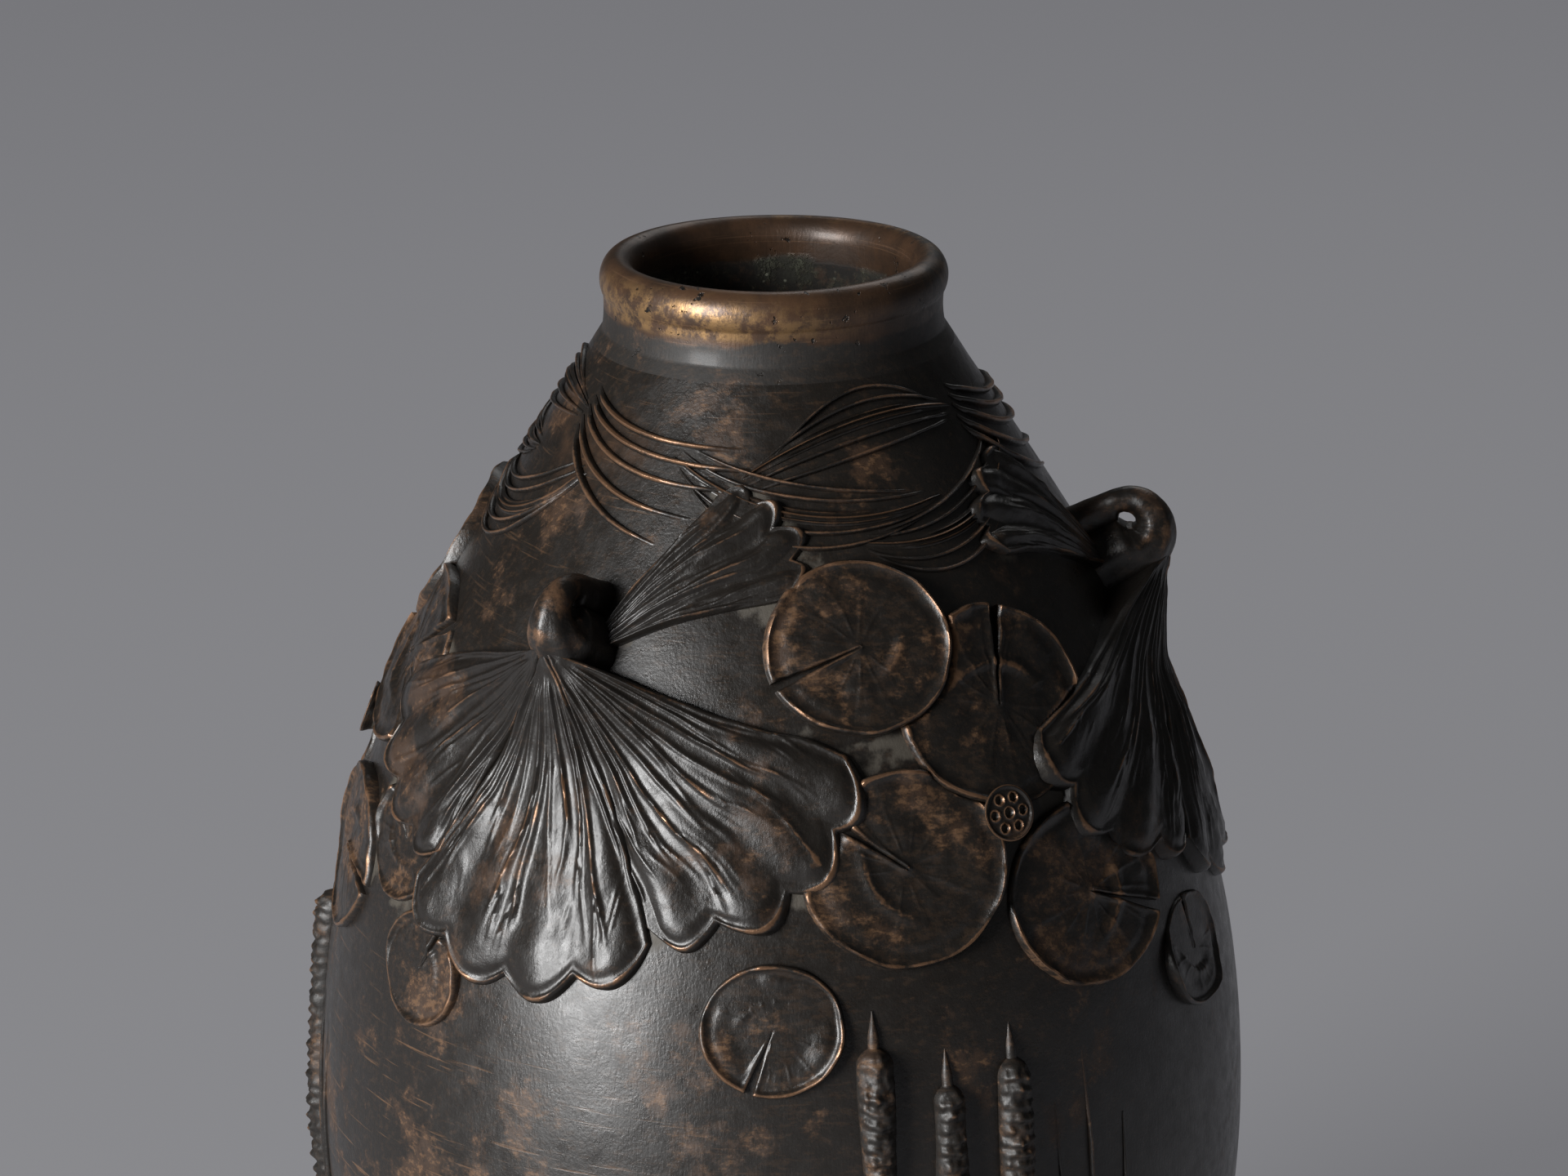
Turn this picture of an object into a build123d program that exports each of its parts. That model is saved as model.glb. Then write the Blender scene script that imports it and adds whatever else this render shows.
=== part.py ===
from build123d import *
import math
import os

# A cast bronze vase: an egg-shaped hollow wall with a rolled lip, a foot ring and a let-in base
# plate. Pond-plant castings are seated on its outside: three knots, each a looped stalk with four
# fan leaves draped round it, and between them round floating leaves with a seed head among them,
# reed blades on the shoulder and reed-mace spikes on the belly.
# Frame: +Z up, origin at the centre of the foot's underside, front towards -Y. Millimetres.
# Turns are degrees about +Z from the front, positive towards +X.

# Vessel
belly_radius = 112.5
belly_height = 160.0
neck_radius = 42.3
neck_height = 350.0
foot_radius = 56.9
foot_height = 10.0
wall = 3.6
shoulder_vertex_share = 0.4134

# Rolled lip and the spigot that drops into the wall's socket
lip_inset = 5.8
lip_half_width = 4.2
lip_half_height = 5.5
lip_rise = 15.0
lip_under_angle = -55.0
collar_rise = 3.4
pinch_depth = 3.3
spigot_depth = 8.0
spigot_wall = 3.5
socket_bed = 1.0

# Foot ring and base plate
foot_flare = 1.6
foot_waist = 0.9
foot_toe = 1.2
foot_toe_rise = 2.2
foot_ledge = 3.5
plate_thickness = 3.5

# Knots: the stalk that loops out of the wall, and the tent that lifts the leaves towards it
knot_turns = (-34.0, 86.0, 206.0)
knot_share = 0.829
knot_radius = 7.0
knot_top_radius = 5.0
tent_height = 16.0
tent_radius = 27.0
stalk_radius = 2.8
stalk_lead = 6.5
stalk_straight = 13.0
stalk_bend_radius = 4.6
stalk_root = 5.0

# Fan leaves, as long as a share of the way round the wall from one knot to the next
fan_reach_share = 0.4384
fan_thickness = 2.0
fan_root_radius = 6.0
fan_scallops = 4
fan_scallop_share = 1.07
fan_bow_share = 0.10
# direction from the knot in degrees, half angle in degrees, share of fan_reach
fan_shares = (
    (-92.0, 31.0, 1.0),
    (-35.0, 28.0, 0.95),
    (-148.0, 27.0, 0.86),
    (50.0, 17.0, 0.74),
)

# Round floating leaves, sized in the same way to fill the gap between two knots
pad_radius_share = 0.1461
pad_thickness = 1.7
pad_oval_share = 0.93
pad_slit_angle = 5.0
# for each gap: turn from its middle, share of the wall's height, share of pad_radius, slit direction
pad_shares = (
    (
        (-12.0, 0.845, 0.90, 200.0),
        (10.0, 0.800, 1.04, 75.0),
        (-9.0, 0.712, 1.00, 140.0),
        (18.0, 0.672, 0.96, -25.0),
        (-27.0, 0.615, 0.68, 250.0),
        (38.0, 0.600, 0.60, 95.0),
    ),
    (
        (8.0, 0.850, 0.88, -30.0),
        (-12.0, 0.795, 1.02, 110.0),
        (12.0, 0.720, 1.00, 30.0),
        (-14.0, 0.660, 0.94, 215.0),
        (30.0, 0.625, 0.66, 290.0),
        (-36.0, 0.610, 0.62, 75.0),
    ),
    (
        (-10.0, 0.838, 0.94, 160.0),
        (12.0, 0.785, 1.00, 40.0),
        (-12.0, 0.700, 0.98, 235.0),
        (14.0, 0.650, 0.90, -10.0),
        (34.0, 0.690, 0.66, 120.0),
        (43.0, 0.615, 0.60, 60.0),
    ),
)

# Seed heads among the round leaves
pod_radius = 6.4
pod_neck_radius = 4.4
pod_height = 4.2
pod_sink = 3.0
pod_dimple_radius = 1.0
pod_dimple_depth = 1.2
pod_dimples = 6
pod_ring_share = 0.58
# for each gap: turn from its middle, share of the wall's height
pod_shares = ((6.0, 0.735), (0.5, 0.742), (1.5, 0.725))

# Reed blades
reed_half_width = 1.7
reed_thickness = 1.3
# for each gap and blade: turn from the gap's middle and share of the wall's height at its root,
# its middle and its tip
reed_shares = (
    (
        ((-52.0, 0.955), (-24.0, 0.925), (14.0, 0.925)),
        ((-34.0, 0.945), (-4.0, 0.975), (30.0, 0.972)),
        ((-8.0, 0.905), (16.0, 0.905), (44.0, 0.945)),
    ),
    (
        ((50.0, 0.950), (22.0, 0.925), (-16.0, 0.930)),
        ((36.0, 0.950), (6.0, 0.975), (-28.0, 0.970)),
        ((10.0, 0.910), (-14.0, 0.900), (-42.0, 0.940)),
    ),
    (
        ((-50.0, 0.950), (-20.0, 0.930), (16.0, 0.935)),
        ((-32.0, 0.950), (-2.0, 0.973), (32.0, 0.970)),
        ((-4.0, 0.910), (18.0, 0.895), (44.0, 0.935)),
    ),
)

# Reed-mace spikes
mace_radius = 3.9
mace_stem_radius = 1.3
mace_tip_length = 12.0
mace_root_share = 0.045
# for each gap: turn from its middle, shares of the wall's height at the spike's two ends
mace_shares = (
    ((-14.5, 0.34, 0.590), (-6.5, 0.27, 0.560), (2.5, 0.36, 0.570)),
    ((-3.0, 0.30, 0.570), (7.0, 0.35, 0.610)),
    ((-7.0, 0.33, 0.560), (3.0, 0.27, 0.580)),
)

# Clearance under a spike or stem, which touches the round wall along its middle only
seat_gap = 0.1

# Cutting tools: how far a flat outline is driven into and out of the wall, as shares of fan_reach
drive_in_share = 0.62
drive_out_share = 0.42
# degrees of turn within which a higher casting can cover a lower one
cover_turn = 75.0
# where the turned surfaces have their seam
seam_turn = 60.0


# Wall line: an arc below the belly, an arc above it, then a straight slope to the neck
belly_drop = belly_radius - foot_radius
belly_depth = belly_height - foot_height
lower_arc = (belly_depth**2 + belly_drop**2) / (2 * belly_drop)
shoulder_span = neck_height - belly_height
vertex_rise = shoulder_vertex_share * shoulder_span
slope_tilt = math.atan2(belly_radius - neck_radius, shoulder_span - vertex_rise)
shoulder_arc = vertex_rise / math.tan(slope_tilt / 2)


def level(share):
    """Height of a share of the wall, from the foot joint to the neck joint."""
    return foot_height + share * (neck_height - foot_height)


def radius_at(z, proud=0.0):
    """Radius at height z of the wall's outer surface, grown by proud along its normal."""
    lift = z - belly_height
    big = shoulder_arc + proud
    if lift <= 0:
        return belly_radius - lower_arc + math.sqrt((lower_arc + proud) ** 2 - lift**2)
    if lift <= big * math.sin(slope_tilt):
        return belly_radius - shoulder_arc + math.sqrt(big**2 - lift**2)
    start = belly_radius - shoulder_arc + big * math.cos(slope_tilt)
    return start - math.tan(slope_tilt) * (lift - big * math.sin(slope_tilt))


def tilt_at(z):
    """Angle of the wall's normal above the horizontal, in radians."""
    lift = z - belly_height
    if lift <= 0:
        return math.asin(lift / lower_arc)
    return math.asin(min(lift / shoulder_arc, math.sin(slope_tilt)))


# Leaf sizes, from the spacing of the knots round the wall
knot_spacing = 2 * math.pi * radius_at(level(knot_share)) / len(knot_turns)
fan_reach = fan_reach_share * knot_spacing
pad_radius = pad_radius_share * knot_spacing


def wall_line(low, high, proud):
    """Edges of the outer line, grown by proud, from height low up to height high."""
    crease = belly_height + (shoulder_arc + proud) * math.sin(slope_tilt)
    stops = [low] + [z for z in (belly_height, crease) if low < z < high] + [high]
    edges = []
    for start, end in zip(stops, stops[1:]):
        first, middle, last = (
            (radius_at(z, proud), 0, z) for z in (start, (start + end) / 2, end)
        )
        straight = start >= crease
        edges.append(Line(first, last) if straight else ThreePointArc(first, middle, last))
    return edges


def turned(edges):
    """Solid turned about Z from a closed outline."""
    return revolve(make_face(edges), Axis.Z).rotate(Axis.Z, seam_turn)


def skin(thickness):
    """Shell of the given thickness on the outside of the whole wall."""
    outside = wall_line(foot_height, neck_height, thickness)
    inside = wall_line(foot_height, neck_height, 0.0)
    top = Line(outside[-1] @ 1, inside[-1] @ 1)
    bottom = Line(inside[0] @ 0, outside[0] @ 0)
    return turned(outside + [top] + inside + [bottom])


def filled_wall(proud):
    """The wall with its hollow filled, its outside grown by proud."""
    outside = wall_line(foot_height, neck_height, proud)
    top = Line(outside[-1] @ 1, (0, 0, neck_height))
    axis = Line((0, 0, neck_height), (0, 0, foot_height))
    bottom = Line((0, 0, foot_height), outside[0] @ 0)
    return turned(outside + [top, axis, bottom])


def seat(turn, z):
    """Plane on the wall: Z outwards, Y up the wall, X round it."""
    angle = math.radians(turn)
    tilt = tilt_at(z)
    radius = radius_at(z)
    ahead = (math.sin(angle), -math.cos(angle))
    return Plane(
        origin=(radius * ahead[0], radius * ahead[1], z),
        x_dir=(math.cos(angle), math.sin(angle), 0),
        z_dir=(math.cos(tilt) * ahead[0], math.cos(tilt) * ahead[1], math.sin(tilt)),
    )


def on_seat(plane, turn, share):
    """Where a place on the wall lies in a seat's own X and Y."""
    there = plane.to_local_coords(seat(turn, level(share)).origin)
    return (there.X, there.Y)


def driven(plane, outline):
    """A flat outline driven through the wall along the seat's normal."""
    start = plane.offset(-drive_in_share * fan_reach)
    depth = (drive_in_share + drive_out_share) * fan_reach
    return extrude(start * outline, amount=depth, dir=plane.z_dir)


def export(shape, name):
    """Write one sub-part as parts/name.step."""
    os.makedirs("parts", exist_ok=True)
    if not isinstance(shape, (Solid, Compound)):
        shape = Compound(children=list(shape))
    export_step(shape, f"parts/{name}.step")


# Vessel
lip_centre = neck_radius - lip_inset
mouth_radius = lip_centre - lip_half_width
spigot_radius = mouth_radius + spigot_wall
spigot_end = neck_height - spigot_depth
plate_radius = radius_at(foot_height, -wall)


def make_wall():
    """Hollow wall, flat at the foot and the neck, with a socket for the lip's spigot."""
    outside = wall_line(foot_height, neck_height, 0.0)
    inside = wall_line(foot_height, spigot_end - socket_bed, -wall)
    socket_top = (spigot_radius, 0, neck_height)
    socket_end = (spigot_radius, 0, spigot_end - socket_bed)
    return turned(
        outside
        + [Line(outside[-1] @ 1, socket_top), Line(socket_top, socket_end)]
        + [Line(socket_end, inside[-1] @ 1)]
        + inside
        + [Line(inside[0] @ 0, outside[0] @ 0)]
    )


def make_lip():
    """Rolled lip, collar and spigot in one turned piece."""
    lip_height = neck_height + lip_rise
    under = math.radians(lip_under_angle)
    under_radius = lip_centre + lip_half_width * math.cos(under)
    under_height = lip_height + lip_half_height * math.sin(under)
    collar_height = neck_height + collar_rise
    joint = (neck_radius, 0, neck_height)
    collar = (neck_radius - collar_rise * math.tan(slope_tilt), 0, collar_height)
    pinch = (neck_radius - pinch_depth, 0, (under_height + collar_height) / 2)
    bead = EllipticalCenterArc(
        (lip_centre, lip_height),
        lip_half_width,
        lip_half_height,
        start_angle=lip_under_angle,
        arc_size=180 - lip_under_angle,
    )
    return turned(
        [
            Line(joint, collar),
            ThreePointArc(collar, pinch, (under_radius, 0, under_height)),
            Plane.XZ * bead,
            Line((mouth_radius, 0, lip_height), (mouth_radius, 0, spigot_end)),
            Line((mouth_radius, 0, spigot_end), (spigot_radius, 0, spigot_end)),
            Line((spigot_radius, 0, spigot_end), (spigot_radius, 0, neck_height)),
            Line((spigot_radius, 0, neck_height), joint),
        ]
    )


def make_foot():
    """Foot ring under the wall, with a ledge that carries the base plate."""
    ledge = foot_height - plate_thickness
    bore = plate_radius - foot_ledge
    widest = foot_radius + foot_flare
    toe = widest - foot_toe
    waist = (foot_radius - foot_waist, 0, (foot_height + foot_toe_rise) / 2)
    return turned(
        [
            ThreePointArc((foot_radius, 0, foot_height), waist, (widest, 0, foot_toe_rise)),
            Line((widest, 0, foot_toe_rise), (toe, 0, 0)),
            Line((toe, 0, 0), (bore, 0, 0)),
            Line((bore, 0, 0), (bore, 0, ledge)),
            Line((bore, 0, ledge), (plate_radius, 0, ledge)),
            Line((plate_radius, 0, ledge), (plate_radius, 0, foot_height)),
            Line((plate_radius, 0, foot_height), (foot_radius, 0, foot_height)),
        ]
    )


def make_plate():
    """Disc let into the foot ring, which closes the wall's casting hole."""
    return Pos(0, 0, foot_height - plate_thickness / 2) * Cylinder(plate_radius, plate_thickness)


# Knots and fan leaves
def upright_cone(bottom_radius, top_radius, low, high):
    """Cone or cup about a seat's Z, from low to high."""
    ends = (Align.CENTER, Align.CENTER, Align.MIN)
    return Pos(0, 0, low) * Cone(bottom_radius, top_radius, high - low, align=ends)


def make_loop(plane, core):
    """Stalk that leaves the knot, bends over and goes back into the wall above it."""
    far_lead = stalk_lead + 2 * stalk_bend_radius
    foot = (0, stalk_lead, -stalk_root)
    top = (0, stalk_lead, stalk_straight)
    crown = (0, stalk_lead + stalk_bend_radius, stalk_straight + stalk_bend_radius)
    far_top = (0, far_lead, stalk_straight)
    far_foot = (0, far_lead, -stalk_root)
    path = Line(foot, top) + ThreePointArc(top, crown, far_top) + Line(far_top, far_foot)
    stalk = sweep(Plane(origin=foot, z_dir=(0, 0, 1)) * Circle(stalk_radius), path=path)
    boss = upright_cone(knot_radius, knot_top_radius, -stalk_root, tent_height)
    return plane.location * (boss + stalk) - core


def make_tent(plane):
    """Cone that lifts the leaves towards the knot, widened below to run well into the wall."""
    deep = drive_in_share * fan_reach
    spread = tent_radius * (tent_height + deep) / tent_height
    return plane.location * upright_cone(spread, 0, -deep, tent_height)


def fan_outline(direction, half_angle, reach):
    """Fan leaf: straight sides from the knot and a bowed, scalloped outer edge."""

    def edge_point(across, share):
        angle = math.radians(direction + half_angle * across)
        radius = reach * share * (1 - fan_bow_share * across**2)
        return (radius * math.cos(angle), radius * math.sin(angle))

    def root_point(across):
        angle = math.radians(direction + half_angle * across)
        return (fan_root_radius * math.cos(angle), fan_root_radius * math.sin(angle))

    edge = [
        ThreePointArc(
            edge_point(2 * k / fan_scallops - 1, 1.0),
            edge_point((2 * k + 1) / fan_scallops - 1, fan_scallop_share),
            edge_point(2 * (k + 1) / fan_scallops - 1, 1.0),
        )
        for k in range(fan_scallops)
    ]
    root = ThreePointArc(root_point(1), root_point(0), root_point(-1))
    sides = [Line(root_point(-1), edge[0] @ 0), Line(edge[-1] @ 1, root_point(1))]
    return make_face(edge + sides + [root])


# Round leaves, seed heads, reed blades and reed-mace
def pad_outline(radius, slit):
    """Round leaf with a narrow slit from its middle to its edge."""
    far = 2 * radius
    rise = far * math.tan(math.radians(pad_slit_angle))
    slot = make_face(Polyline((0, 0), (far, -rise), (far, rise), (0, 0)))
    return Rot(0, 0, slit) * (Ellipse(radius, pad_oval_share * radius) - slot)


def make_pod(plane, core):
    """Seed head: a flaring cup with a ring of dimples in its flat top."""
    cup = upright_cone(pod_neck_radius, pod_radius, -pod_sink, pod_height)
    dimple = Cylinder(pod_dimple_radius, 2 * pod_dimple_depth)
    for k in range(pod_dimples):
        angle = 2 * math.pi * k / pod_dimples
        reach = pod_ring_share * pod_radius
        cup -= Pos(reach * math.cos(angle), reach * math.sin(angle), pod_height) * dimple
    return plane.location * cup - core


def reed_outline(plane, middle, places):
    """Blade pointed at both ends, bent through three places on the wall."""
    root, waist, tip = (on_seat(plane, middle + turn, share) for turn, share in places)
    along = Vector(tip[0] - root[0], tip[1] - root[1]).normalized()
    over = (waist[0] - reed_half_width * along.Y, waist[1] + reed_half_width * along.X)
    under = (waist[0] + reed_half_width * along.Y, waist[1] - reed_half_width * along.X)
    return make_face([ThreePointArc(root, over, tip), ThreePointArc(tip, under, root)])


def half_disc(place, radius):
    """Half disc across the wall at an end of an upright line, its flat side on the line."""
    plane = Plane(origin=place[0], x_dir=(0, 1, 0), z_dir=place[1])
    arc = ThreePointArc((-radius, 0), (0, -radius), (radius, 0))
    return plane * make_face([arc, Line((radius, 0), (-radius, 0))])


def half_rod(low, high, radius):
    """Half-round rod up the wall at its seam side, and its two end places and directions."""
    line = Wire(wall_line(low, high, seat_gap))
    ends = ((line @ 0, line % 0), (line @ 1, line % 1))
    return sweep(half_disc(ends[0], radius), path=line), ends


def make_mace(turn, low, high):
    """Reed-mace: a stem from near the foot, a fat spike with round ends and a thin tip."""
    tip_height = high + mace_tip_length
    spike, ends = half_rod(low, high, mace_radius)
    stem, _ = half_rod(level(mace_root_share), low, mace_stem_radius)
    tip, _ = half_rod(high, tip_height, mace_stem_radius)
    whole = spike + stem + tip
    for (place, along), turn_by in zip(ends, (90, -90)):
        across = Axis(place, (0, 1, 0))
        whole += revolve(half_disc((place, along), mace_radius), across, turn_by)
    return whole.rotate(Axis.Z, turn - 90)


# Vessel pieces
export(make_wall(), "vessel_wall")
export(make_lip(), "rolled_lip")
export(make_foot(), "foot_ring")
export(make_plate(), "base_plate")

# Castings on the outside, the uppermost first. Each leaves a cutter, so that what lies lower
# stops at its edge. The leaf above a knot lies flat.
core = filled_wall(0.0)
fan_blank = filled_wall(fan_thickness)
pad_skin = skin(pad_thickness)
reed_skin = skin(reed_thickness)
cutters = []


def uncovered(shape, turn):
    """The largest piece of the shape that higher castings near its turn leave free."""
    for other, cutter in cutters:
        if abs((other - turn + 180) % 360 - 180) < cover_turn:
            shape = shape - cutter
    return max(shape.solids(), key=lambda solid: solid.volume)


for letter, turn in zip("abc", knot_turns):
    here = seat(turn, level(knot_share))
    loop = make_loop(here, core)
    export(loop, f"stalk_loop_{letter}")
    tented = fan_blank + make_tent(here)
    higher = []
    for number, (direction, half_angle, reach_share) in enumerate(fan_shares, 1):
        aim = 180 - direction if letter == "b" else direction
        cutter = driven(here, fan_outline(aim, half_angle, reach_share * fan_reach))
        upward = direction > 0
        leaf = ((fan_blank if upward else tented) & cutter) - core - loop
        for other in higher:
            leaf = leaf - other
        export(leaf, f"fan_leaf_{letter}{number}")
        higher.append(cutter)
    cutters.extend((turn, cutter) for cutter in higher)

middles = [turn + 60 for turn in knot_turns]
for letter, middle, (turn, share) in zip("abc", middles, pod_shares):
    here = seat(middle + turn, level(share))
    export(uncovered(make_pod(here, core), middle + turn), f"seed_head_{letter}")
    cutters.append((middle + turn, driven(here, Circle(pod_radius))))

for letter, middle, pads in zip("abc", middles, pad_shares):
    for number, (turn, share, size_share, slit) in enumerate(pads, 1):
        here = seat(middle + turn, level(share))
        cutter = driven(here, pad_outline(size_share * pad_radius, slit))
        export(uncovered(pad_skin & cutter, middle + turn), f"round_leaf_{letter}{number}")
        cutters.append((middle + turn, cutter))

for letter, middle, reeds in zip("abc", middles, reed_shares):
    for number, places in enumerate(reeds, 1):
        turn, share = places[1]
        here = seat(middle + turn, level(share))
        cutter = driven(here, reed_outline(here, middle, places))
        export(uncovered(reed_skin & cutter, middle + turn), f"reed_blade_{letter}{number}")

for letter, middle, spikes in zip("abc", middles, mace_shares):
    for number, (turn, low, high) in enumerate(spikes, 1):
        mace = make_mace(middle + turn, level(low), level(high))
        export(uncovered(mace, middle + turn), f"reed_mace_{letter}{number}")
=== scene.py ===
import itertools
import math

import bpy
import numpy as np
from mathutils import Matrix, Vector
from mathutils.kdtree import KDTree


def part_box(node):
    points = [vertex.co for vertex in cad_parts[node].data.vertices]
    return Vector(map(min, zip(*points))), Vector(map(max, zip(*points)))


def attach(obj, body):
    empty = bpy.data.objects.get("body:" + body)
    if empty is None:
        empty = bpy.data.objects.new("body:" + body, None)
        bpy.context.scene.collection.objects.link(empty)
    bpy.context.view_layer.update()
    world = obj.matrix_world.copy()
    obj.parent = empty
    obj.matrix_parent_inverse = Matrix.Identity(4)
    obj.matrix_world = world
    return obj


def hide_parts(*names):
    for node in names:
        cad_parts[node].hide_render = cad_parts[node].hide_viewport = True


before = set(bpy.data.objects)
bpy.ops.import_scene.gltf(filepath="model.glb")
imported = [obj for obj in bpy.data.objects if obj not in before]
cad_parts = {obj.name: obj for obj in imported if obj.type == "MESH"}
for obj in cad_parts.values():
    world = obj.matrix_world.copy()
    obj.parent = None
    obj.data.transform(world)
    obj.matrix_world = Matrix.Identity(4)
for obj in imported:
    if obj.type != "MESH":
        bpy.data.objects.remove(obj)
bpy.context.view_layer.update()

bl_info = {
    "name": "Bronze vase with pond-plant relief",
    "version": (1, 0, 0),
    "blender": (4, 5, 0),
    "location": "View3D > Sidebar > Bronze Vase",
    "description": "Models and finishes a cast bronze vase with leaves, reeds and looped stalks",
    "category": "Object",
}

# Shapes are worked out in millimetres and written to the meshes in metres.
MM = 0.001
WALL_LOW, WALL_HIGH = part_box("vessel_wall")
# Points closer than this are merged, in metres
MERGE_GAP = 2e-6
# Distance in millimetres that counts as clear of every edge and outline
FAR_OFF = 9.0
# How far a casting's sole is drawn in under its edge, in millimetres
SOLE_TUCK = 0.35
# Room under the lip's spigot, and the collar's rise and pinch, in millimetres
SOCKET_BED = 1.0
COLLAR_RISE = 3.4
COLLAR_PINCH = 3.0
# Where the roll begins under the lip, in degrees
LIP_UNDER_ANGLE = -38

# Where each casting lies. Turns are in degrees round the vase from its front, heights are
# shares of the wall from foot to neck, and sizes are shares of the leaf sizes in the sidebar.
KNOT_TURNS = {"a": -34.0, "b": 86.0, "c": 206.0}
KNOT_SHARE = 0.829
GAP_TURN = 60.0
# Fan leaves: direction from the knot, half angle, reach, height over the wall in millimetres
FANS = (
    (-92.0, 31.0, 1.00, 2.7),
    (-35.0, 28.0, 0.95, 2.2),
    (-148.0, 27.0, 0.86, 2.2),
    (50.0, 17.0, 0.74, 2.0),
)
FAN_RIBS = 11
# Share by which a fan leaf is shorter at its sides than down its middle
FAN_ROUNDING = 0.10
# Round leaves: turn from the gap's middle, height, radius, direction of the slit
PADS = {
    "a": (
        (-12.0, 0.845, 0.90, 200.0), (10.0, 0.800, 1.04, 75.0), (-9.0, 0.712, 1.00, 140.0),
        (18.0, 0.672, 0.96, -25.0), (-27.0, 0.615, 0.68, 250.0), (38.0, 0.600, 0.60, 95.0),
    ),
    "b": (
        (8.0, 0.850, 0.88, -30.0), (-12.0, 0.795, 1.02, 110.0), (12.0, 0.720, 1.00, 30.0),
        (-14.0, 0.660, 0.94, 215.0), (30.0, 0.625, 0.66, 290.0), (-36.0, 0.610, 0.62, 75.0),
    ),
    "c": (
        (-10.0, 0.838, 0.94, 160.0), (12.0, 0.785, 1.00, 40.0), (-12.0, 0.700, 0.98, 235.0),
        (14.0, 0.650, 0.90, -10.0), (34.0, 0.690, 0.66, 120.0), (43.0, 0.615, 0.60, 60.0),
    ),
}
# Height of each round leaf over the wall in millimetres, the uppermost first
PAD_PROUD = (2.7, 2.35, 2.05, 1.8, 1.5, 1.4)
PAD_OVAL = 0.93
# How far a slit opens to each side, in degrees
PAD_SLIT = 2.4
PAD_VEINS = 14
# Seed heads: turn from the gap's middle and height
PODS = {"a": (6.0, 0.735), "b": (0.5, 0.742), "c": (1.5, 0.725)}
POD_SEEDS = 6
# Reed blades: turn from the gap's middle and height at the root, the waist and the tip
REEDS = {
    "a": (
        ((-52.0, 0.955), (-24.0, 0.925), (14.0, 0.925)),
        ((-34.0, 0.945), (-4.0, 0.975), (30.0, 0.972)),
        ((-8.0, 0.905), (16.0, 0.905), (44.0, 0.945)),
    ),
    "b": (
        ((50.0, 0.950), (22.0, 0.925), (-16.0, 0.930)),
        ((36.0, 0.950), (6.0, 0.975), (-28.0, 0.970)),
        ((10.0, 0.910), (-14.0, 0.900), (-42.0, 0.940)),
    ),
    "c": (
        ((-50.0, 0.950), (-20.0, 0.930), (16.0, 0.935)),
        ((-32.0, 0.950), (-2.0, 0.973), (32.0, 0.970)),
        ((-4.0, 0.910), (18.0, 0.895), (44.0, 0.935)),
    ),
}
# Reed-mace spikes: turn from the gap's middle, and where they begin and end
MACES = {
    "a": ((-14.5, 0.34, 0.590), (-6.5, 0.27, 0.560), (2.5, 0.36, 0.570)),
    "b": ((-3.0, 0.30, 0.570), (7.0, 0.35, 0.610)),
    "c": ((-7.0, 0.33, 0.560), (3.0, 0.27, 0.580)),
}
# Height at which a spike's stem begins
MACE_ROOT_SHARE = 0.045
# Stems beside each reed blade: how far up at its middle, how far at its ends, their length
STEM_SHIFTS = (
    (-0.010, -0.004, 0.96), (-0.019, -0.007, 0.90), (0.010, 0.004, 0.93), (0.018, 0.006, 0.82),
)
# Sweeping stems above each knot: turn from the knot and height at one end, the middle and the
# other end
SWEEPS = (
    ((-27.0, 0.984), (-4.0, 0.966), (26.0, 0.962)), ((-27.5, 0.978), (-3.0, 0.956), (31.0, 0.950)),
    ((-28.0, 0.972), (-5.0, 0.945), (25.0, 0.938)), ((-28.5, 0.965), (-8.0, 0.932), (16.0, 0.920)),
    ((-28.5, 0.959), (-11.0, 0.922), (9.0, 0.903)),
)
SWEEP_WIDTH = 1.5
# Bare stems beside the spikes: turn from the gap's middle, and where they begin and end
STALKS = {
    "a": ((-20.0, 0.05, 0.470), (8.5, 0.05, 0.545), (13.0, 0.05, 0.575), (18.5, 0.05, 0.520)),
    "b": ((-9.5, 0.05, 0.520), (-16.0, 0.05, 0.570), (13.5, 0.05, 0.500), (19.0, 0.05, 0.560)),
    "c": ((-14.0, 0.05, 0.560), (-20.5, 0.05, 0.500), (10.5, 0.05, 0.550), (16.0, 0.05, 0.530)),
}

# Cells along and across each kind of casting, and steps round the turned pieces
FAN_GRID = (150, 112)
PAD_GRID = (168, 34)
REED_GRID = (150, 16)
STEM_GRID = (96, 4)
MACE_GRID = (26, 330)
WALL_STEPS = 320
LIP_STEPS = 220
LOOP_SIDES = 56
LOOP_CUTS = 110

# The stage, in metres and degrees
FLOOR_SIZE = 14.0
FLOOR_BACK = 1.5
LIT_HEIGHT = 0.24
# Lamps: name, its power in the sidebar, turn from the front, rise, distance, width and height
LAMPS = (
    ("Key softbox", "key_power", -47.0, 12.0, 2.4, (0.8, 1.35)),
    ("Fill", "fill_power", 72.0, 22.0, 2.2, (1.6, 1.6)),
    ("Back softbox", "back_power", 160.0, 42.0, 1.9, (1.1, 0.9)),
)
CAMERA_PLACE = (0.00175, -1.0937, 0.6434)
CAMERA_TILT = 72.0
CAMERA_ROLL = -0.62
SENSOR_WIDTH = 36.0


# Sizes, colours and light, as they stand in the sidebar
def length(name, description, default):
    """A length in metres for a property group."""
    return bpy.props.FloatProperty(
        name=name, description=description, default=default, min=0.0, unit="LENGTH", precision=4
    )


def tint(name, description, default):
    """A linear colour for a property group."""
    return bpy.props.FloatVectorProperty(
        name=name, description=description, default=default, size=3, min=0.0, max=1.0,
        subtype="COLOR",
    )


def amount(name, description, default, most=1.0):
    """A plain share for a property group."""
    return bpy.props.FloatProperty(
        name=name, description=description, default=default, min=0.0, max=most, subtype="FACTOR"
    )


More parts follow.
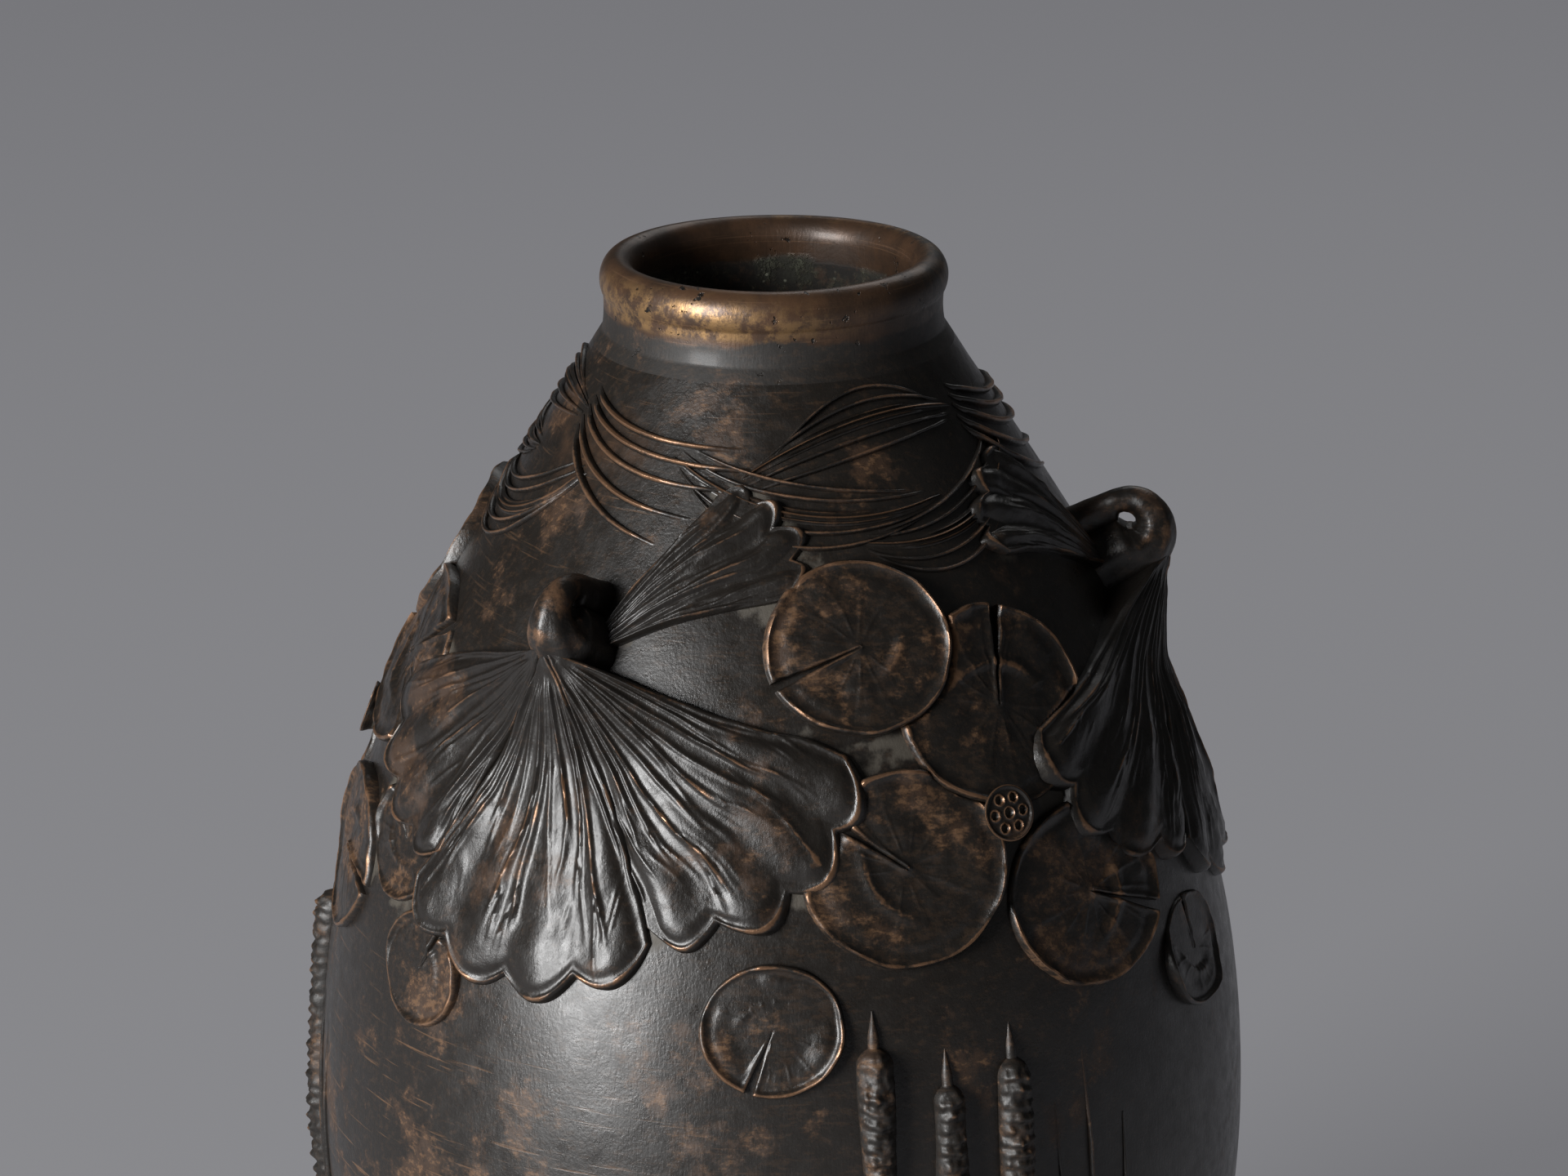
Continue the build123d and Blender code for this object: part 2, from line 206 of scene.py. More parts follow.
class VesselSizes(bpy.types.PropertyGroup):
    """Line of the vessel and its lip"""

    belly_radius: length("Belly radius", "Widest radius of the wall", 0.1125)
    belly_height: length("Belly height", "Height of the widest place", 0.160)
    foot_radius: length("Foot radius", "Radius of the wall at the foot joint", 0.0569)
    foot_height: length("Foot height", "Height of the foot joint", WALL_LOW.z)
    neck_radius: length("Neck radius", "Radius of the wall at the neck joint", 0.0423)
    neck_height: length("Neck height", "Height of the neck joint", WALL_HIGH.z)
    wall: length("Wall thickness", "Thickness of the cast wall", 0.0036)
    crease_share: amount("Crease share", "Where the shoulder's curve turns into its slope", 0.4134)
    lip_inset: length("Lip inset", "How far the roll's middle lies inside the neck", 0.0058)
    lip_half_width: length("Lip half width", "Half the roll's width", 0.0042)
    lip_half_height: length("Lip half height", "Half the roll's height", 0.0055)
    lip_rise: length("Lip rise", "Height of the roll's middle over the neck joint", 0.015)
    spigot_depth: length("Spigot depth", "How deep the lip sits in the wall", 0.008)
    spigot_wall: length("Spigot wall", "Thickness of the lip's spigot", 0.0035)


class PlantSizes(bpy.types.PropertyGroup):
    """Sizes of the cast leaves, stalks, reeds and spikes"""

    fan_reach: length("Fan reach", "Length of the longest fan leaf", 0.072)
    tent_height: length("Tent height", "How far a knot lifts its leaves", 0.016)
    tent_radius: length("Tent radius", "How far round a knot its leaves are lifted", 0.027)
    stalk_radius: length("Stalk radius", "Radius of a loop at its crown", 0.0028)
    stalk_lead: length("Stalk lead", "How far up the slope a loop starts", 0.0065)
    stalk_straight: length("Stalk straight", "Height at which a loop begins to bend", 0.013)
    stalk_bend: length("Stalk bend", "Radius of a loop's bend", 0.0046)
    knot_radius: length("Knot radius", "Radius of a knot at the wall", 0.007)
    pad_radius: length("Pad radius", "Radius of a full-size round leaf", 0.024)
    pod_radius: length("Seed head radius", "Radius of a seed head's rim", 0.0064)
    pod_height: length("Seed head height", "Height of a seed head", 0.0042)
    reed_half_width: length("Reed half width", "Half the width of a reed blade", 0.0017)
    stem_half_width: length("Stem half width", "Half the width of a bare stem", 0.0006)
    mace_radius: length("Spike radius", "Radius of a reed-mace spike", 0.0039)
    mace_stem_radius: length("Spike stem radius", "Radius of its stem", 0.0013)
    mace_tip: length("Spike tip", "Length of the thin tip over a spike", 0.012)


class PatinaColours(bpy.types.PropertyGroup):
    """Colours of the bronze, its wear and what sits in its hollows"""

    dark: tint("Dark patina", "Near-black brown of the sound surface", (0.014, 0.0115, 0.0095))
    brown: tint("Brown patina", "Warmer brown where the black has thinned", (0.050, 0.029, 0.018))
    tan: tint("Tan patina", "Lightest mottling on the belly", (0.135, 0.075, 0.040))
    copper: tint("Worn copper", "Metal bared on edges and ribs", (0.27, 0.150, 0.085))
    gold: tint("Worn gold", "Brightest rubbing on the lip", (0.36, 0.215, 0.095))
    lip: tint("Lip brown", "Handled brown of the lip", (0.105, 0.056, 0.031))
    residue: tint("Residue", "Dull brown earth in the hollows", (0.074, 0.064, 0.050))
    crust: tint("Crust", "Green-grey crust inside the throat", (0.085, 0.090, 0.062))
    fleck: tint("Flecks", "Pale flecks on the crust", (0.34, 0.35, 0.27))
    floor: tint("Floor", "Plain ground under the vase", (0.20, 0.20, 0.203))
    backdrop: tint("Backdrop", "Even tone that the ground shows the camera", (0.156, 0.156, 0.169))


class StudioLight(bpy.types.PropertyGroup):
    """Lights and camera"""

    key_power: bpy.props.FloatProperty(
        name="Key power", description="Tall softbox at the left front", default=84.0, min=0.0,
        unit="POWER",
    )
    fill_power: bpy.props.FloatProperty(
        name="Fill power", description="Weak wide light from the right", default=0.3, min=0.0,
        unit="POWER",
    )
    back_power: bpy.props.FloatProperty(
        name="Back power", description="Soft light from above and behind", default=4.0, min=0.0,
        unit="POWER",
    )
    world_strength: amount("World strength", "Even light from all round", 0.03, 2.0)
    lens: bpy.props.FloatProperty(
        name="Lens", description="Focal length on a 36 mm wide sensor, in millimetres",
        default=110.83, min=1.0,
    )


# Repeatable unevenness
def speckle(cells):
    """Repeatable value from 0 to 1 for each whole-number cell."""
    mixed = (cells[..., 0] * 73856093) ^ (cells[..., 1] * 19349663) ^ (cells[..., 2] * 83492791)
    mixed = ((mixed ^ (mixed >> 13)) & 0x7FFFFFFF) * 1274126177
    mixed = (mixed ^ (mixed >> 17)) & 0x7FFFFFFF
    mixed = (mixed * 1103515245 + 12345) & 0x7FFFFFFF
    return ((mixed >> 7) & 0xFFFFF) / 0xFFFFF


def lumps(points, size, seed=0):
    """Smooth lumps of about the given size, from -1 to 1."""
    scaled = points / size + 19.7 * seed
    cell = np.floor(scaled).astype(np.int64)
    part = scaled - cell
    part = part * part * (3 - 2 * part)
    total = np.zeros(points.shape[:-1])
    for corner in itertools.product((0, 1), repeat=3):
        corner = np.array(corner)
        weight = np.where(corner, part, 1 - part).prod(axis=-1)
        total += weight * speckle(cell + corner)
    return 2 * total - 1


def rough(points, size, seed=0, layers=3):
    """Lumps with finer lumps on them."""
    return sum(lumps(points, size / 2**k, seed + k) / 2**k for k in range(layers)) / 1.6


def grains(points, size, seed=0):
    """Rounded crumbs of about the given size: 1 on a crumb's middle, 0 between crumbs."""
    scaled = points / size + 11.3 * seed
    cell = np.floor(scaled).astype(np.int64)
    nearest = np.full(points.shape[:-1], 9.0)
    for step in itertools.product((-1, 0, 1), repeat=3):
        there = cell + np.array(step)
        shift = np.stack([speckle(there + offset) for offset in (101, 202, 303)], axis=-1)
        gap = np.linalg.norm(there + shift - scaled, axis=-1)
        nearest = np.minimum(nearest, gap)
    return np.clip(1 - nearest / 0.85, 0, 1)


def flat_points(x, y, z=0.0):
    """Points stacked from separate coordinates."""
    return np.stack(np.broadcast_arrays(x, y, z), axis=-1).astype(float)


def step_up(value, low, high):
    """0 below low, 1 above high and smooth between them."""
    part = np.clip((value - low) / (high - low), 0, 1)
    return part * part * (3 - 2 * part)


def bump(value, middle, width):
    """1 at the middle, falling to 0 on both sides over about the width."""
    return np.exp(-(((value - middle) / width) ** 2))


def crowded(share, pull=0.55):
    """Shares from 0 to 1 moved towards both ends, which gives edges more points."""
    return share - pull * np.sin(2 * np.pi * share) / (2 * np.pi)


def rounded_off(edge, width):
    """How far a quarter-round edge of the given width falls: 1 on the outline, 0 inside it."""
    return 1 - np.sqrt(1 - np.clip(1 - edge / width, 0, 1) ** 2)


def round_axis(points):
    """Distance from the vase's axis, the way out from it and the turn from the front."""
    reach = np.hypot(points[:, 0], points[:, 1])
    ahead = points * (1, 1, 0) / reach[:, None]
    turn = np.degrees(np.arctan2(points[:, 0], -points[:, 1]))
    return reach, ahead, turn


# The wall and places on it
class Wall:
    """Outer surface of the vessel, in millimetres."""

    def __init__(self, sizes):
        self.belly = sizes.belly_radius / MM
        self.belly_z = sizes.belly_height / MM
        self.foot_z = sizes.foot_height / MM
        self.neck_z = sizes.neck_height / MM
        foot = sizes.foot_radius / MM
        neck = sizes.neck_radius / MM
        drop = self.belly - foot
        depth = self.belly_z - self.foot_z
        self.lower = (depth**2 + drop**2) / (2 * drop)
        span = self.neck_z - self.belly_z
        rise = sizes.crease_share * span
        self.slope = math.atan2(self.belly - neck, span - rise)
        self.upper = rise / math.tan(self.slope / 2)
        self.crease = self.upper * math.sin(self.slope)

    def level(self, share):
        """Height of a share of the wall, from the foot joint to the neck joint."""
        return self.foot_z + share * (self.neck_z - self.foot_z)

    def radius(self, z):
        """Radius of the surface at height z."""
        lift = np.asarray(z, float) - self.belly_z
        below = self.belly - self.lower + np.sqrt(np.maximum(self.lower**2 - lift**2, 0))
        curved = np.minimum(lift, self.crease)
        above = self.belly - self.upper + np.sqrt(np.maximum(self.upper**2 - curved**2, 0))
        slope = math.tan(self.slope) * np.maximum(lift - self.crease, 0)
        return np.where(lift <= 0, below, above - slope)

    def tilt(self, z):
        """Angle of the surface's normal above the horizontal."""
        lift = np.asarray(z, float) - self.belly_z
        below = np.arcsin(np.clip(lift / self.lower, -1, 1))
        above = np.arcsin(np.clip(lift / self.upper, -1, math.sin(self.slope)))
        return np.where(lift <= 0, below, above)

    def at(self, turn, z):
        """Points on the surface and the ways out of it, for turns in degrees."""
        angle = np.radians(turn)
        tilt = self.tilt(z)
        ahead = flat_points(np.sin(angle), -np.cos(angle))
        points = ahead * self.radius(z)[..., None] + flat_points(0, 0, z)
        outward = ahead * np.cos(tilt)[..., None] + flat_points(0, 0, np.sin(tilt))
        return points, outward


class Lip:
    """Places on the rolled lip, in millimetres."""

    def __init__(self, wall, sizes):
        self.neck = sizes.neck_radius / MM
        self.top = wall.neck_z
        self.half_width = sizes.lip_half_width / MM
        self.half_height = sizes.lip_half_height / MM
        self.middle = self.neck - sizes.lip_inset / MM
        self.rise = self.top + sizes.lip_rise / MM
        self.mouth = self.middle - self.half_width
        self.spigot = self.mouth + sizes.spigot_wall / MM
        self.end = self.top - sizes.spigot_depth / MM


class Seat:
    """Flat place on the wall: across runs round it, up runs up it and out leaves it."""

    def __init__(self, wall, turn, share):
        self.wall = wall
        origin, out = wall.at(np.array(turn), np.array(wall.level(share)))
        angle = math.radians(turn)
        self.origin = origin
        self.out = out
        self.across = np.array((math.cos(angle), math.sin(angle), 0.0))
        self.up = np.cross(self.out, self.across)

    def place(self, x, y, n):
        """Points at the seat's own coordinates."""
        x, y, n = (np.asarray(value, float)[..., None] for value in (x, y, n))
        return self.origin + x * self.across + y * self.up + n * self.out

    def local(self, turn, share):
        """A place on the wall in the seat's own x and y."""
        there = self.wall.at(np.array(turn), np.array(self.wall.level(share)))[0] - self.origin
        return complex(there @ self.across, there @ self.up)

    def depth(self, x, y):
        """How far out of the seat the wall lies under (x, y), and how squarely it faces out."""
        n = np.zeros(np.shape(x))
        for _ in range(14):
            p = self.place(x, y, n)
            reach = np.hypot(p[..., 0], p[..., 1])
            lean = np.tan(self.wall.tilt(p[..., 2]))
            rate = (p[..., 0] * self.out[0] + p[..., 1] * self.out[1]) / reach
            rate = np.maximum(rate + lean * self.out[2], 0.35)
            n = n - (reach - self.wall.radius(p[..., 2])) / rate
        return n, np.maximum(rate * np.cos(np.arctan(lean)), 0.5)


# Modelling by hand
def only(obj=None):
    """Deselects everything, then selects obj alone."""
    if bpy.context.object and bpy.context.object.mode != "OBJECT":
        bpy.ops.object.mode_set(mode="OBJECT")
    bpy.ops.object.select_all(action="DESELECT")
    if obj:
        obj.select_set(True)
        bpy.context.view_layer.objects.active = obj


def read_points(obj):
    """Vertex places of a mesh."""
    points = np.empty(3 * len(obj.data.vertices), np.float32)
    obj.data.vertices.foreach_get("co", points)
    return points.reshape(-1, 3).astype(float)


def write_points(obj, points):
    """Moves the vertices of a mesh to places in millimetres."""
    obj.data.vertices.foreach_set("co", (points * MM).astype(np.float32).ravel())
    obj.data.update()


def write_marks(obj, **marks):
    """Stores a value at each vertex under each name."""
    for name, values in marks.items():
        mark = obj.data.attributes.new(name, "FLOAT", "POINT")
        mark.data.foreach_set("value", np.clip(values, 0, 1).astype(np.float32))


def slab(name, columns, rows):
    """Thin block over 0 to 1 in X and Y whose underside is at Z 0 and top at Z 1."""
    only()
    bpy.ops.mesh.primitive_grid_add(
        x_subdivisions=columns, y_subdivisions=rows, size=1.0, location=(0.5, 0.5, 0.0)
    )
    obj = bpy.context.object
    obj.name = obj.data.name = name
    bpy.ops.object.transform_apply(location=True, rotation=True, scale=True)
    bpy.ops.object.mode_set(mode="EDIT")
    bpy.ops.mesh.select_all(action="SELECT")
    bpy.ops.mesh.extrude_region_move(TRANSFORM_OT_translate={"value": (0.0, 0.0, 1.0)})
    bpy.ops.object.mode_set(mode="OBJECT")
    return obj


def blurred(field, reach):
    """A field of heights averaged over reach cells each way."""
    for axis in (0, 1):
        pad = [(reach, reach) if k == axis else (0, 0) for k in (0, 1)]
        wide = np.pad(field, pad, mode="edge")
        count = field.shape[axis]
        parts = [np.take(wide, range(k, k + count), axis=axis) for k in range(2 * reach + 1)]
        field = sum(parts) / len(parts)
    return field


def lay_casting(obj, form, sink=1.2, contrast=0.5, reach=4, rim=0.85):
    """Bends a slab onto the wall. The form gives the wall under each share, the way out, the
    height of the top and the distance to the outline, and wear and hollows follow from them."""
    points = read_points(obj)
    order = np.lexsort((points[:, 0].round(4), points[:, 1].round(4)))
    columns = len(np.unique(points[:, 0].round(4)))
    tops, soles = (order[(points[order, 2] > 0.5) == top].reshape(-1, columns) for top in (1, 0))
    u, v = points[tops][..., 0], points[tops][..., 1]
    ground, out, height, edge = form(u, v, 0.0)
    points[tops] = ground + out * height[..., None]
    ground, out, _, _ = form(u, v, SOLE_TUCK)
    points[soles] = ground - out * sink
    proud = height - blurred(height, reach)
    rub = np.zeros(len(points))
    hollow = np.ones(len(points))
    broken = 0.60 + 0.60 * lumps(points[tops], 6.5, 21)
    worn = proud / contrast * (0.45 + 0.55 * np.clip(broken, 0, 1.2))
    rub[tops] = np.maximum(worn, rim * broken * bump(edge, 0.6, 0.45))
    hollow[tops] = -proud / contrast
    write_points(obj, points)
    write_marks(obj, rub=rub, hollow=hollow)


def cast_piece(name, grid, form, **laying):
    """A casting: a slab bent onto the wall, closed and shaded."""
    obj = slab(name, *grid)
    lay_casting(obj, form, **laying)
    close_mesh(obj)
    return obj


def close_mesh(obj, smooth_angle=50.0):
    """Merges doubles, points every face outwards and shades the mesh."""
    only(obj)
    bpy.ops.object.mode_set(mode="EDIT")
    bpy.ops.mesh.select_all(action="SELECT")
    bpy.ops.mesh.remove_doubles(threshold=MERGE_GAP)
    bpy.ops.mesh.dissolve_degenerate(threshold=1e-7)
    bpy.ops.mesh.select_all(action="SELECT")
    bpy.ops.mesh.normals_make_consistent(inside=False)
    bpy.ops.object.mode_set(mode="OBJECT")
    bpy.ops.object.shade_smooth_by_angle(angle=math.radians(smooth_angle))


def turned_piece(name, line, steps):
    """Closed outline of (radius, height) points spun round the axis into one shell."""
    only()
    bpy.ops.mesh.primitive_circle_add(vertices=len(line), radius=1.0, fill_type="NOTHING")
    obj = bpy.context.object
    obj.name = obj.data.name = name
    write_points(obj, flat_points([r for r, _ in line], 0.0, [z for _, z in line]))
    bpy.ops.object.mode_set(mode="EDIT")
    bpy.ops.mesh.select_all(action="SELECT")
    bpy.ops.mesh.spin(steps=steps, angle=2 * math.pi, center=(0, 0, 0), axis=(0, 0, 1))
    bpy.ops.mesh.select_all(action="SELECT")
    bpy.ops.mesh.remove_doubles(threshold=MERGE_GAP)
    bpy.ops.object.mode_set(mode="OBJECT")
    return obj


def run(line, count):
    """Points at even steps along a bent line, its last point left out."""
    line = np.array(line, float)
    gone = np.concatenate([[0], np.cumsum(np.linalg.norm(np.diff(line, axis=0), axis=1))])
    stops = np.linspace(0, gone[-1], count, endpoint=False)
    return [tuple(np.interp(stop, gone, line[:, k]) for k in (0, 1)) for stop in stops]


def finish_piece(obj, material, slot, *nodes):
    """Gives a piece its finish, its place on the body and the solids it stands for, if any."""
    obj.data.materials.clear()
    obj.data.materials.append(material)
    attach(obj, "root")
    if nodes:
        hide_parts(*nodes)


# Bronze finishes
WAX_IOR = 1.52


def add_node(tree, kind, links=(), **values):
    """Adds a node, sets its properties and inputs, and links sockets into it."""
    node = tree.nodes.new(kind)
    for key, value in values.items():
        if hasattr(node, key):
            setattr(node, key, value)
        else:
            node.inputs[key.replace("_", " ")].default_value = value
    for socket, source in dict(links).items():
        tree.links.new(source, node.inputs[socket])
    return node


def maths(tree, operation, first, second, clamp=False):
    """One sum on two values or sockets."""
    node = tree.nodes.new("ShaderNodeMath")
    node.operation = operation
    node.use_clamp = clamp
    for socket, value in zip(node.inputs, (first, second)):
        if isinstance(value, bpy.types.NodeSocket):
            tree.links.new(value, socket)
        else:
            socket.default_value = value
    return node.outputs[0]


def blend(tree, share, first, second):
    """Mixes two colours by a share."""
    node = tree.nodes.new("ShaderNodeMix")
    node.data_type = "RGBA"
    for socket, value in ((node.inputs[0], share), (node.inputs[6], first), (node.inputs[7], second)):
        if isinstance(value, bpy.types.NodeSocket):
            tree.links.new(value, socket)
        else:
            socket.default_value = value
    return node.outputs[2]


def window(tree, value, low, high):
    """Smooth step of a socket from low to high."""
    node = tree.nodes.new("ShaderNodeMapRange")
    node.interpolation_type = "SMOOTHSTEP"
    tree.links.new(value, node.inputs["Value"])
    node.inputs["From Min"].default_value = low
    node.inputs["From Max"].default_value = high
    return node.outputs["Result"]


def noise(tree, place, scale, detail=4.0, roughness=0.55):
    """Noise at a scale in waves a metre."""
    node = add_node(
        tree, "ShaderNodeTexNoise", {"Vector": place}, Scale=scale, Detail=detail,
        Roughness=roughness,
    )
    return node.outputs["Fac"]


def shader_group(name, inputs, outputs):
    """Empty shader group with named sockets."""
    tree = bpy.data.node_groups.new(name, "ShaderNodeTree")
    kinds = {"value": "NodeSocketFloat", "colour": "NodeSocketColor", "place": "NodeSocketVector"}
    for socket, kind in inputs.items():
        tree.interface.new_socket(name=socket, in_out="INPUT", socket_type=kinds[kind])
    for socket, kind in outputs.items():
        tree.interface.new_socket(name=socket, in_out="OUTPUT", socket_type=kinds[kind])
    return tree, tree.nodes.new("NodeGroupInput").outputs, tree.nodes.new("NodeGroupOutput").inputs


def patina_group():
    """Near-black patina with brown clouds and fine tan speckling, and how dull it is."""
    tree, given, made = shader_group(
        "Patina",
        {"Place": "place", "Dark": "colour", "Brown": "colour", "Tan": "colour",
         "Thinning": "value", "Speckle": "value"},
        {"Colour": "colour", "Dull": "value"},
    )
    wide = noise(tree, given["Place"], 44.0, 7.0, 0.68)
    cloud = window(tree, maths(tree, "ADD", wide, given["Thinning"]), 0.56, 0.67)
    drawn = add_node(
        tree, "ShaderNodeMapping", {"Vector": given["Place"]}, Rotation=(0.3, 0.5, 0.7),
        Scale=(230.0, 620.0, 620.0),
    )
    fine = noise(tree, drawn.outputs["Vector"], 1.0, 6.0, 0.72)
    dotted = window(tree, maths(tree, "ADD", fine, given["Speckle"]), 0.56, 0.70)
    dotted = maths(tree, "MULTIPLY", dotted, maths(tree, "ADD", cloud, 0.12, clamp=True))
    brown = blend(tree, cloud, given["Dark"], given["Brown"])
    tree.links.new(blend(tree, dotted, brown, given["Tan"]), made["Colour"])
    handled = maths(tree, "SUBTRACT", noise(tree, given["Place"], 210.0, 5.0, 0.7), 0.5)
    handled = maths(tree, "MULTIPLY", handled, 0.55)
    dull = maths(tree, "ADD", maths(tree, "MULTIPLY", cloud, 0.10), handled)
    tree.links.new(dull, made["Dull"])
    return tree


def wear_group():
    """Mask of metal bared on high places, broken up as handling leaves it."""
    tree, given, made = shader_group(
        "Worn metal", {"Place": "place", "High": "value", "Amount": "value"}, {"Mask": "value"}
    )
    coarse = noise(tree, given["Place"], 75.0, 4.0, 0.6)
    fine = noise(tree, given["Place"], 900.0, 4.0, 0.65)
    coarse = maths(tree, "MULTIPLY", coarse, 0.75)
    broken = maths(tree, "ADD", coarse, maths(tree, "MULTIPLY", fine, 0.55))
    worn = maths(tree, "MULTIPLY", given["High"], given["Amount"])
    worn = maths(tree, "ADD", worn, maths(tree, "SUBTRACT", broken, 0.65))
    held = maths(tree, "GREATER_THAN", given["High"], 0.04)
    mask = maths(tree, "MULTIPLY", window(tree, worn, 0.38, 0.86), held)
    tree.links.new(mask, made["Mask"])
    return tree


def residue_group():
    """Mask of dull earth and wax held in hollows."""
    tree, given, made = shader_group(
        "Residue", {"Place": "place", "Hollow": "value", "Amount": "value"}, {"Mask": "value"}
    )
    patch = noise(tree, given["Place"], 150.0, 6.0, 0.72)
    held = maths(tree, "MULTIPLY", given["Hollow"], given["Amount"])
    held = maths(tree, "ADD", held, maths(tree, "SUBTRACT", patch, 0.5))
    tree.links.new(window(tree, held, 0.42, 0.74), made["Mask"])
    return tree


def skin_group():
    """Height of the cast skin: soft hammering, fine grain and small pits, in metres."""
    tree, given, made = shader_group(
        "Cast skin", {"Place": "place", "Grain": "value", "Pits": "value"}, {"Height": "value"}
    )
    soft = maths(tree, "MULTIPLY", noise(tree, given["Place"], 190.0, 3.0, 0.5), 0.00013)
    grain = maths(tree, "MULTIPLY", noise(tree, given["Place"], 1300.0, 4.0, 0.65), 0.00011)
    grain = maths(tree, "MULTIPLY", grain, given["Grain"])
    cells = add_node(tree, "ShaderNodeTexVoronoi", {"Vector": given["Place"]}, Scale=330.0)
    pit = window(tree, cells.outputs["Distance"], 0.02, 0.22)
    pit = maths(tree, "MULTIPLY", maths(tree, "SUBTRACT", pit, 1.0), given["Pits"])
    pit = maths(tree, "MULTIPLY", pit, 0.00012)
    drawn = add_node(
        tree, "ShaderNodeVectorMath", {"Vector": given["Place"]}, operation="MULTIPLY"
    )
    drawn.inputs[1].default_value = (1.0, 1.0, 0.13)
    hair = maths(tree, "MULTIPLY", noise(tree, drawn.outputs["Vector"], 1700.0, 3.0, 0.6), 0.00006)
    grain = maths(tree, "ADD", grain, hair)
    total = maths(tree, "ADD", maths(tree, "ADD", soft, grain), pit)
    tree.links.new(total, made["Height"])
    return tree


def crust_group():
    """Dark crust of the throat with green-grey patches, brown between them and pale flecks."""
    tree, given, made = shader_group(
        "Crust",
        {"Place": "place", "Dark": "colour", "Brown": "colour", "Crust": "colour",
         "Fleck": "colour"},
        {"Colour": "colour", "Height": "value"},
    )
    wide = window(tree, noise(tree, given["Place"], 70.0, 5.0, 0.65), 0.44, 0.62)
    fine = window(tree, noise(tree, given["Place"], 420.0, 5.0, 0.7), 0.46, 0.66)
    crusted = maths(tree, "MULTIPLY", wide, maths(tree, "ADD", fine, 0.25, clamp=True))
    cells = add_node(tree, "ShaderNodeTexVoronoi", {"Vector": given["Place"]}, Scale=520.0)
    fleck = maths(tree, "SUBTRACT", 1.0, window(tree, cells.outputs["Distance"], 0.10, 0.26))
    rare = window(tree, noise(tree, given["Place"], 190.0, 2.0, 0.5), 0.55, 0.64)
    fleck = maths(tree, "MULTIPLY", maths(tree, "MULTIPLY", fleck, rare), wide)
    ground = blend(tree, fine, given["Dark"], given["Brown"])
    colour = blend(tree, crusted, ground, given["Crust"])
    tree.links.new(blend(tree, fleck, colour, given["Fleck"]), made["Colour"])
    tree.links.new(maths(tree, "MULTIPLY", crusted, 0.0006), made["Height"])
    return tree


def scratch_group():
    """Fine brushed scratches in one direction, as a mask."""
    tree, given, made = shader_group(
        "Scratches", {"Place": "place", "Amount": "value"}, {"Mask": "value"}
    )
    line = noise(tree, given["Place"], 1.0, 3.0, 0.6)
    strength = maths(tree, "MULTIPLY", window(tree, line, 0.60, 0.70), given["Amount"])
    tree.links.new(strength, made["Mask"])
    return tree


GROUP_MAKERS = {
    "Patina": patina_group, "Worn metal": wear_group, "Residue": residue_group,
    "Cast skin": skin_group, "Scratches": scratch_group, "Crust": crust_group,
}


def use_group(tree, name, links, **values):
    """Places a shared effect, building it the first time."""
    node = tree.nodes.new("ShaderNodeGroup")
    node.node_tree = bpy.data.node_groups.get(name) or GROUP_MAKERS[name]()
    for socket, source in links.items():
        tree.links.new(source, node.inputs[socket])
    for socket, value in values.items():
        node.inputs[socket].default_value = value
    return node.outputs


def full(colour):
    """Colour with its alpha."""
    return (*colour, 1.0)


def start_material(name):
    """Empty material: its tree, the object's own coordinates and the shader."""
    material = bpy.data.materials.new(name)
    material.use_nodes = True
    tree = material.node_tree
    shader = tree.nodes["Principled BSDF"]
    place = tree.nodes.new("ShaderNodeTexCoord").outputs["Object"]
    return material, tree, place, shader


def mark(tree, name):
    """A value that a piece stores at each vertex."""
    return add_node(tree, "ShaderNodeAttribute", attribute_name=name).outputs["Fac"]


def emboss(tree, shader, height):
    """Bumps a surface by a height in metres."""
    relief = add_node(tree, "ShaderNodeBump", {"Height": height}, Strength=0.8, Distance=1.0)
    tree.links.new(relief.outputs["Normal"], shader.inputs["Normal"])


def wax(shader, weight, roughness):
    """Thin coat of wax over the patina."""
    shader.inputs["IOR"].default_value = WAX_IOR
    shader.inputs["Coat Weight"].default_value = weight
    shader.inputs["Coat Roughness"].default_value = roughness


def bronze(name, colours, thinning, speckle, wear=1.0, residue=0.8, pits=0.3, roughness=0.36,
           coat=0.16):
    """Patinated bronze with copper on its high places and residue in its hollows."""
    found = bpy.data.materials.get(name)
    if found:
        return found
    material, tree, place, shader = start_material(name)
    high, low = mark(tree, "rub"), mark(tree, "hollow")
    patina = use_group(
        tree, "Patina", {"Place": place}, Dark=full(colours.dark),
        Brown=full(colours.brown), Tan=full(colours.tan), Thinning=thinning, Speckle=speckle,
    )
    held = use_group(tree, "Residue", {"Place": place, "Hollow": low}, Amount=residue)["Mask"]
    worn = use_group(tree, "Worn metal", {"Place": place, "High": high}, Amount=wear)["Mask"]
    colour = blend(tree, held, patina["Colour"], full(colours.residue))
    colour = blend(tree, worn, colour, full(colours.copper))
    tree.links.new(colour, shader.inputs["Base Color"])
    tree.links.new(maths(tree, "MULTIPLY", worn, 0.72), shader.inputs["Metallic"])
    sheen = maths(tree, "ADD", patina["Dull"], roughness)
    sheen = maths(tree, "ADD", sheen, maths(tree, "MULTIPLY", held, 0.32), clamp=True)
    tree.links.new(sheen, shader.inputs["Roughness"])
    skin = use_group(tree, "Cast skin", {"Place": place}, Grain=1.0, Pits=pits)["Height"]
    emboss(tree, shader, skin)
    wax(shader, coat, 0.22)
    return material


def reed_bronze(colours):
    """Finish of the reed blades and of the bare stems."""
    return bronze("Reed bronze", colours, thinning=0.05, speckle=0.02, wear=0.95, residue=0.4)


def throat_crust(tree, place, colours):
    """Crust of the throat: its colour and its height."""
    return use_group(
        tree, "Crust", {"Place": place}, Dark=full(colours.dark), Brown=full(colours.brown),
        Crust=full(colours.crust), Fleck=full(colours.fleck),
    )


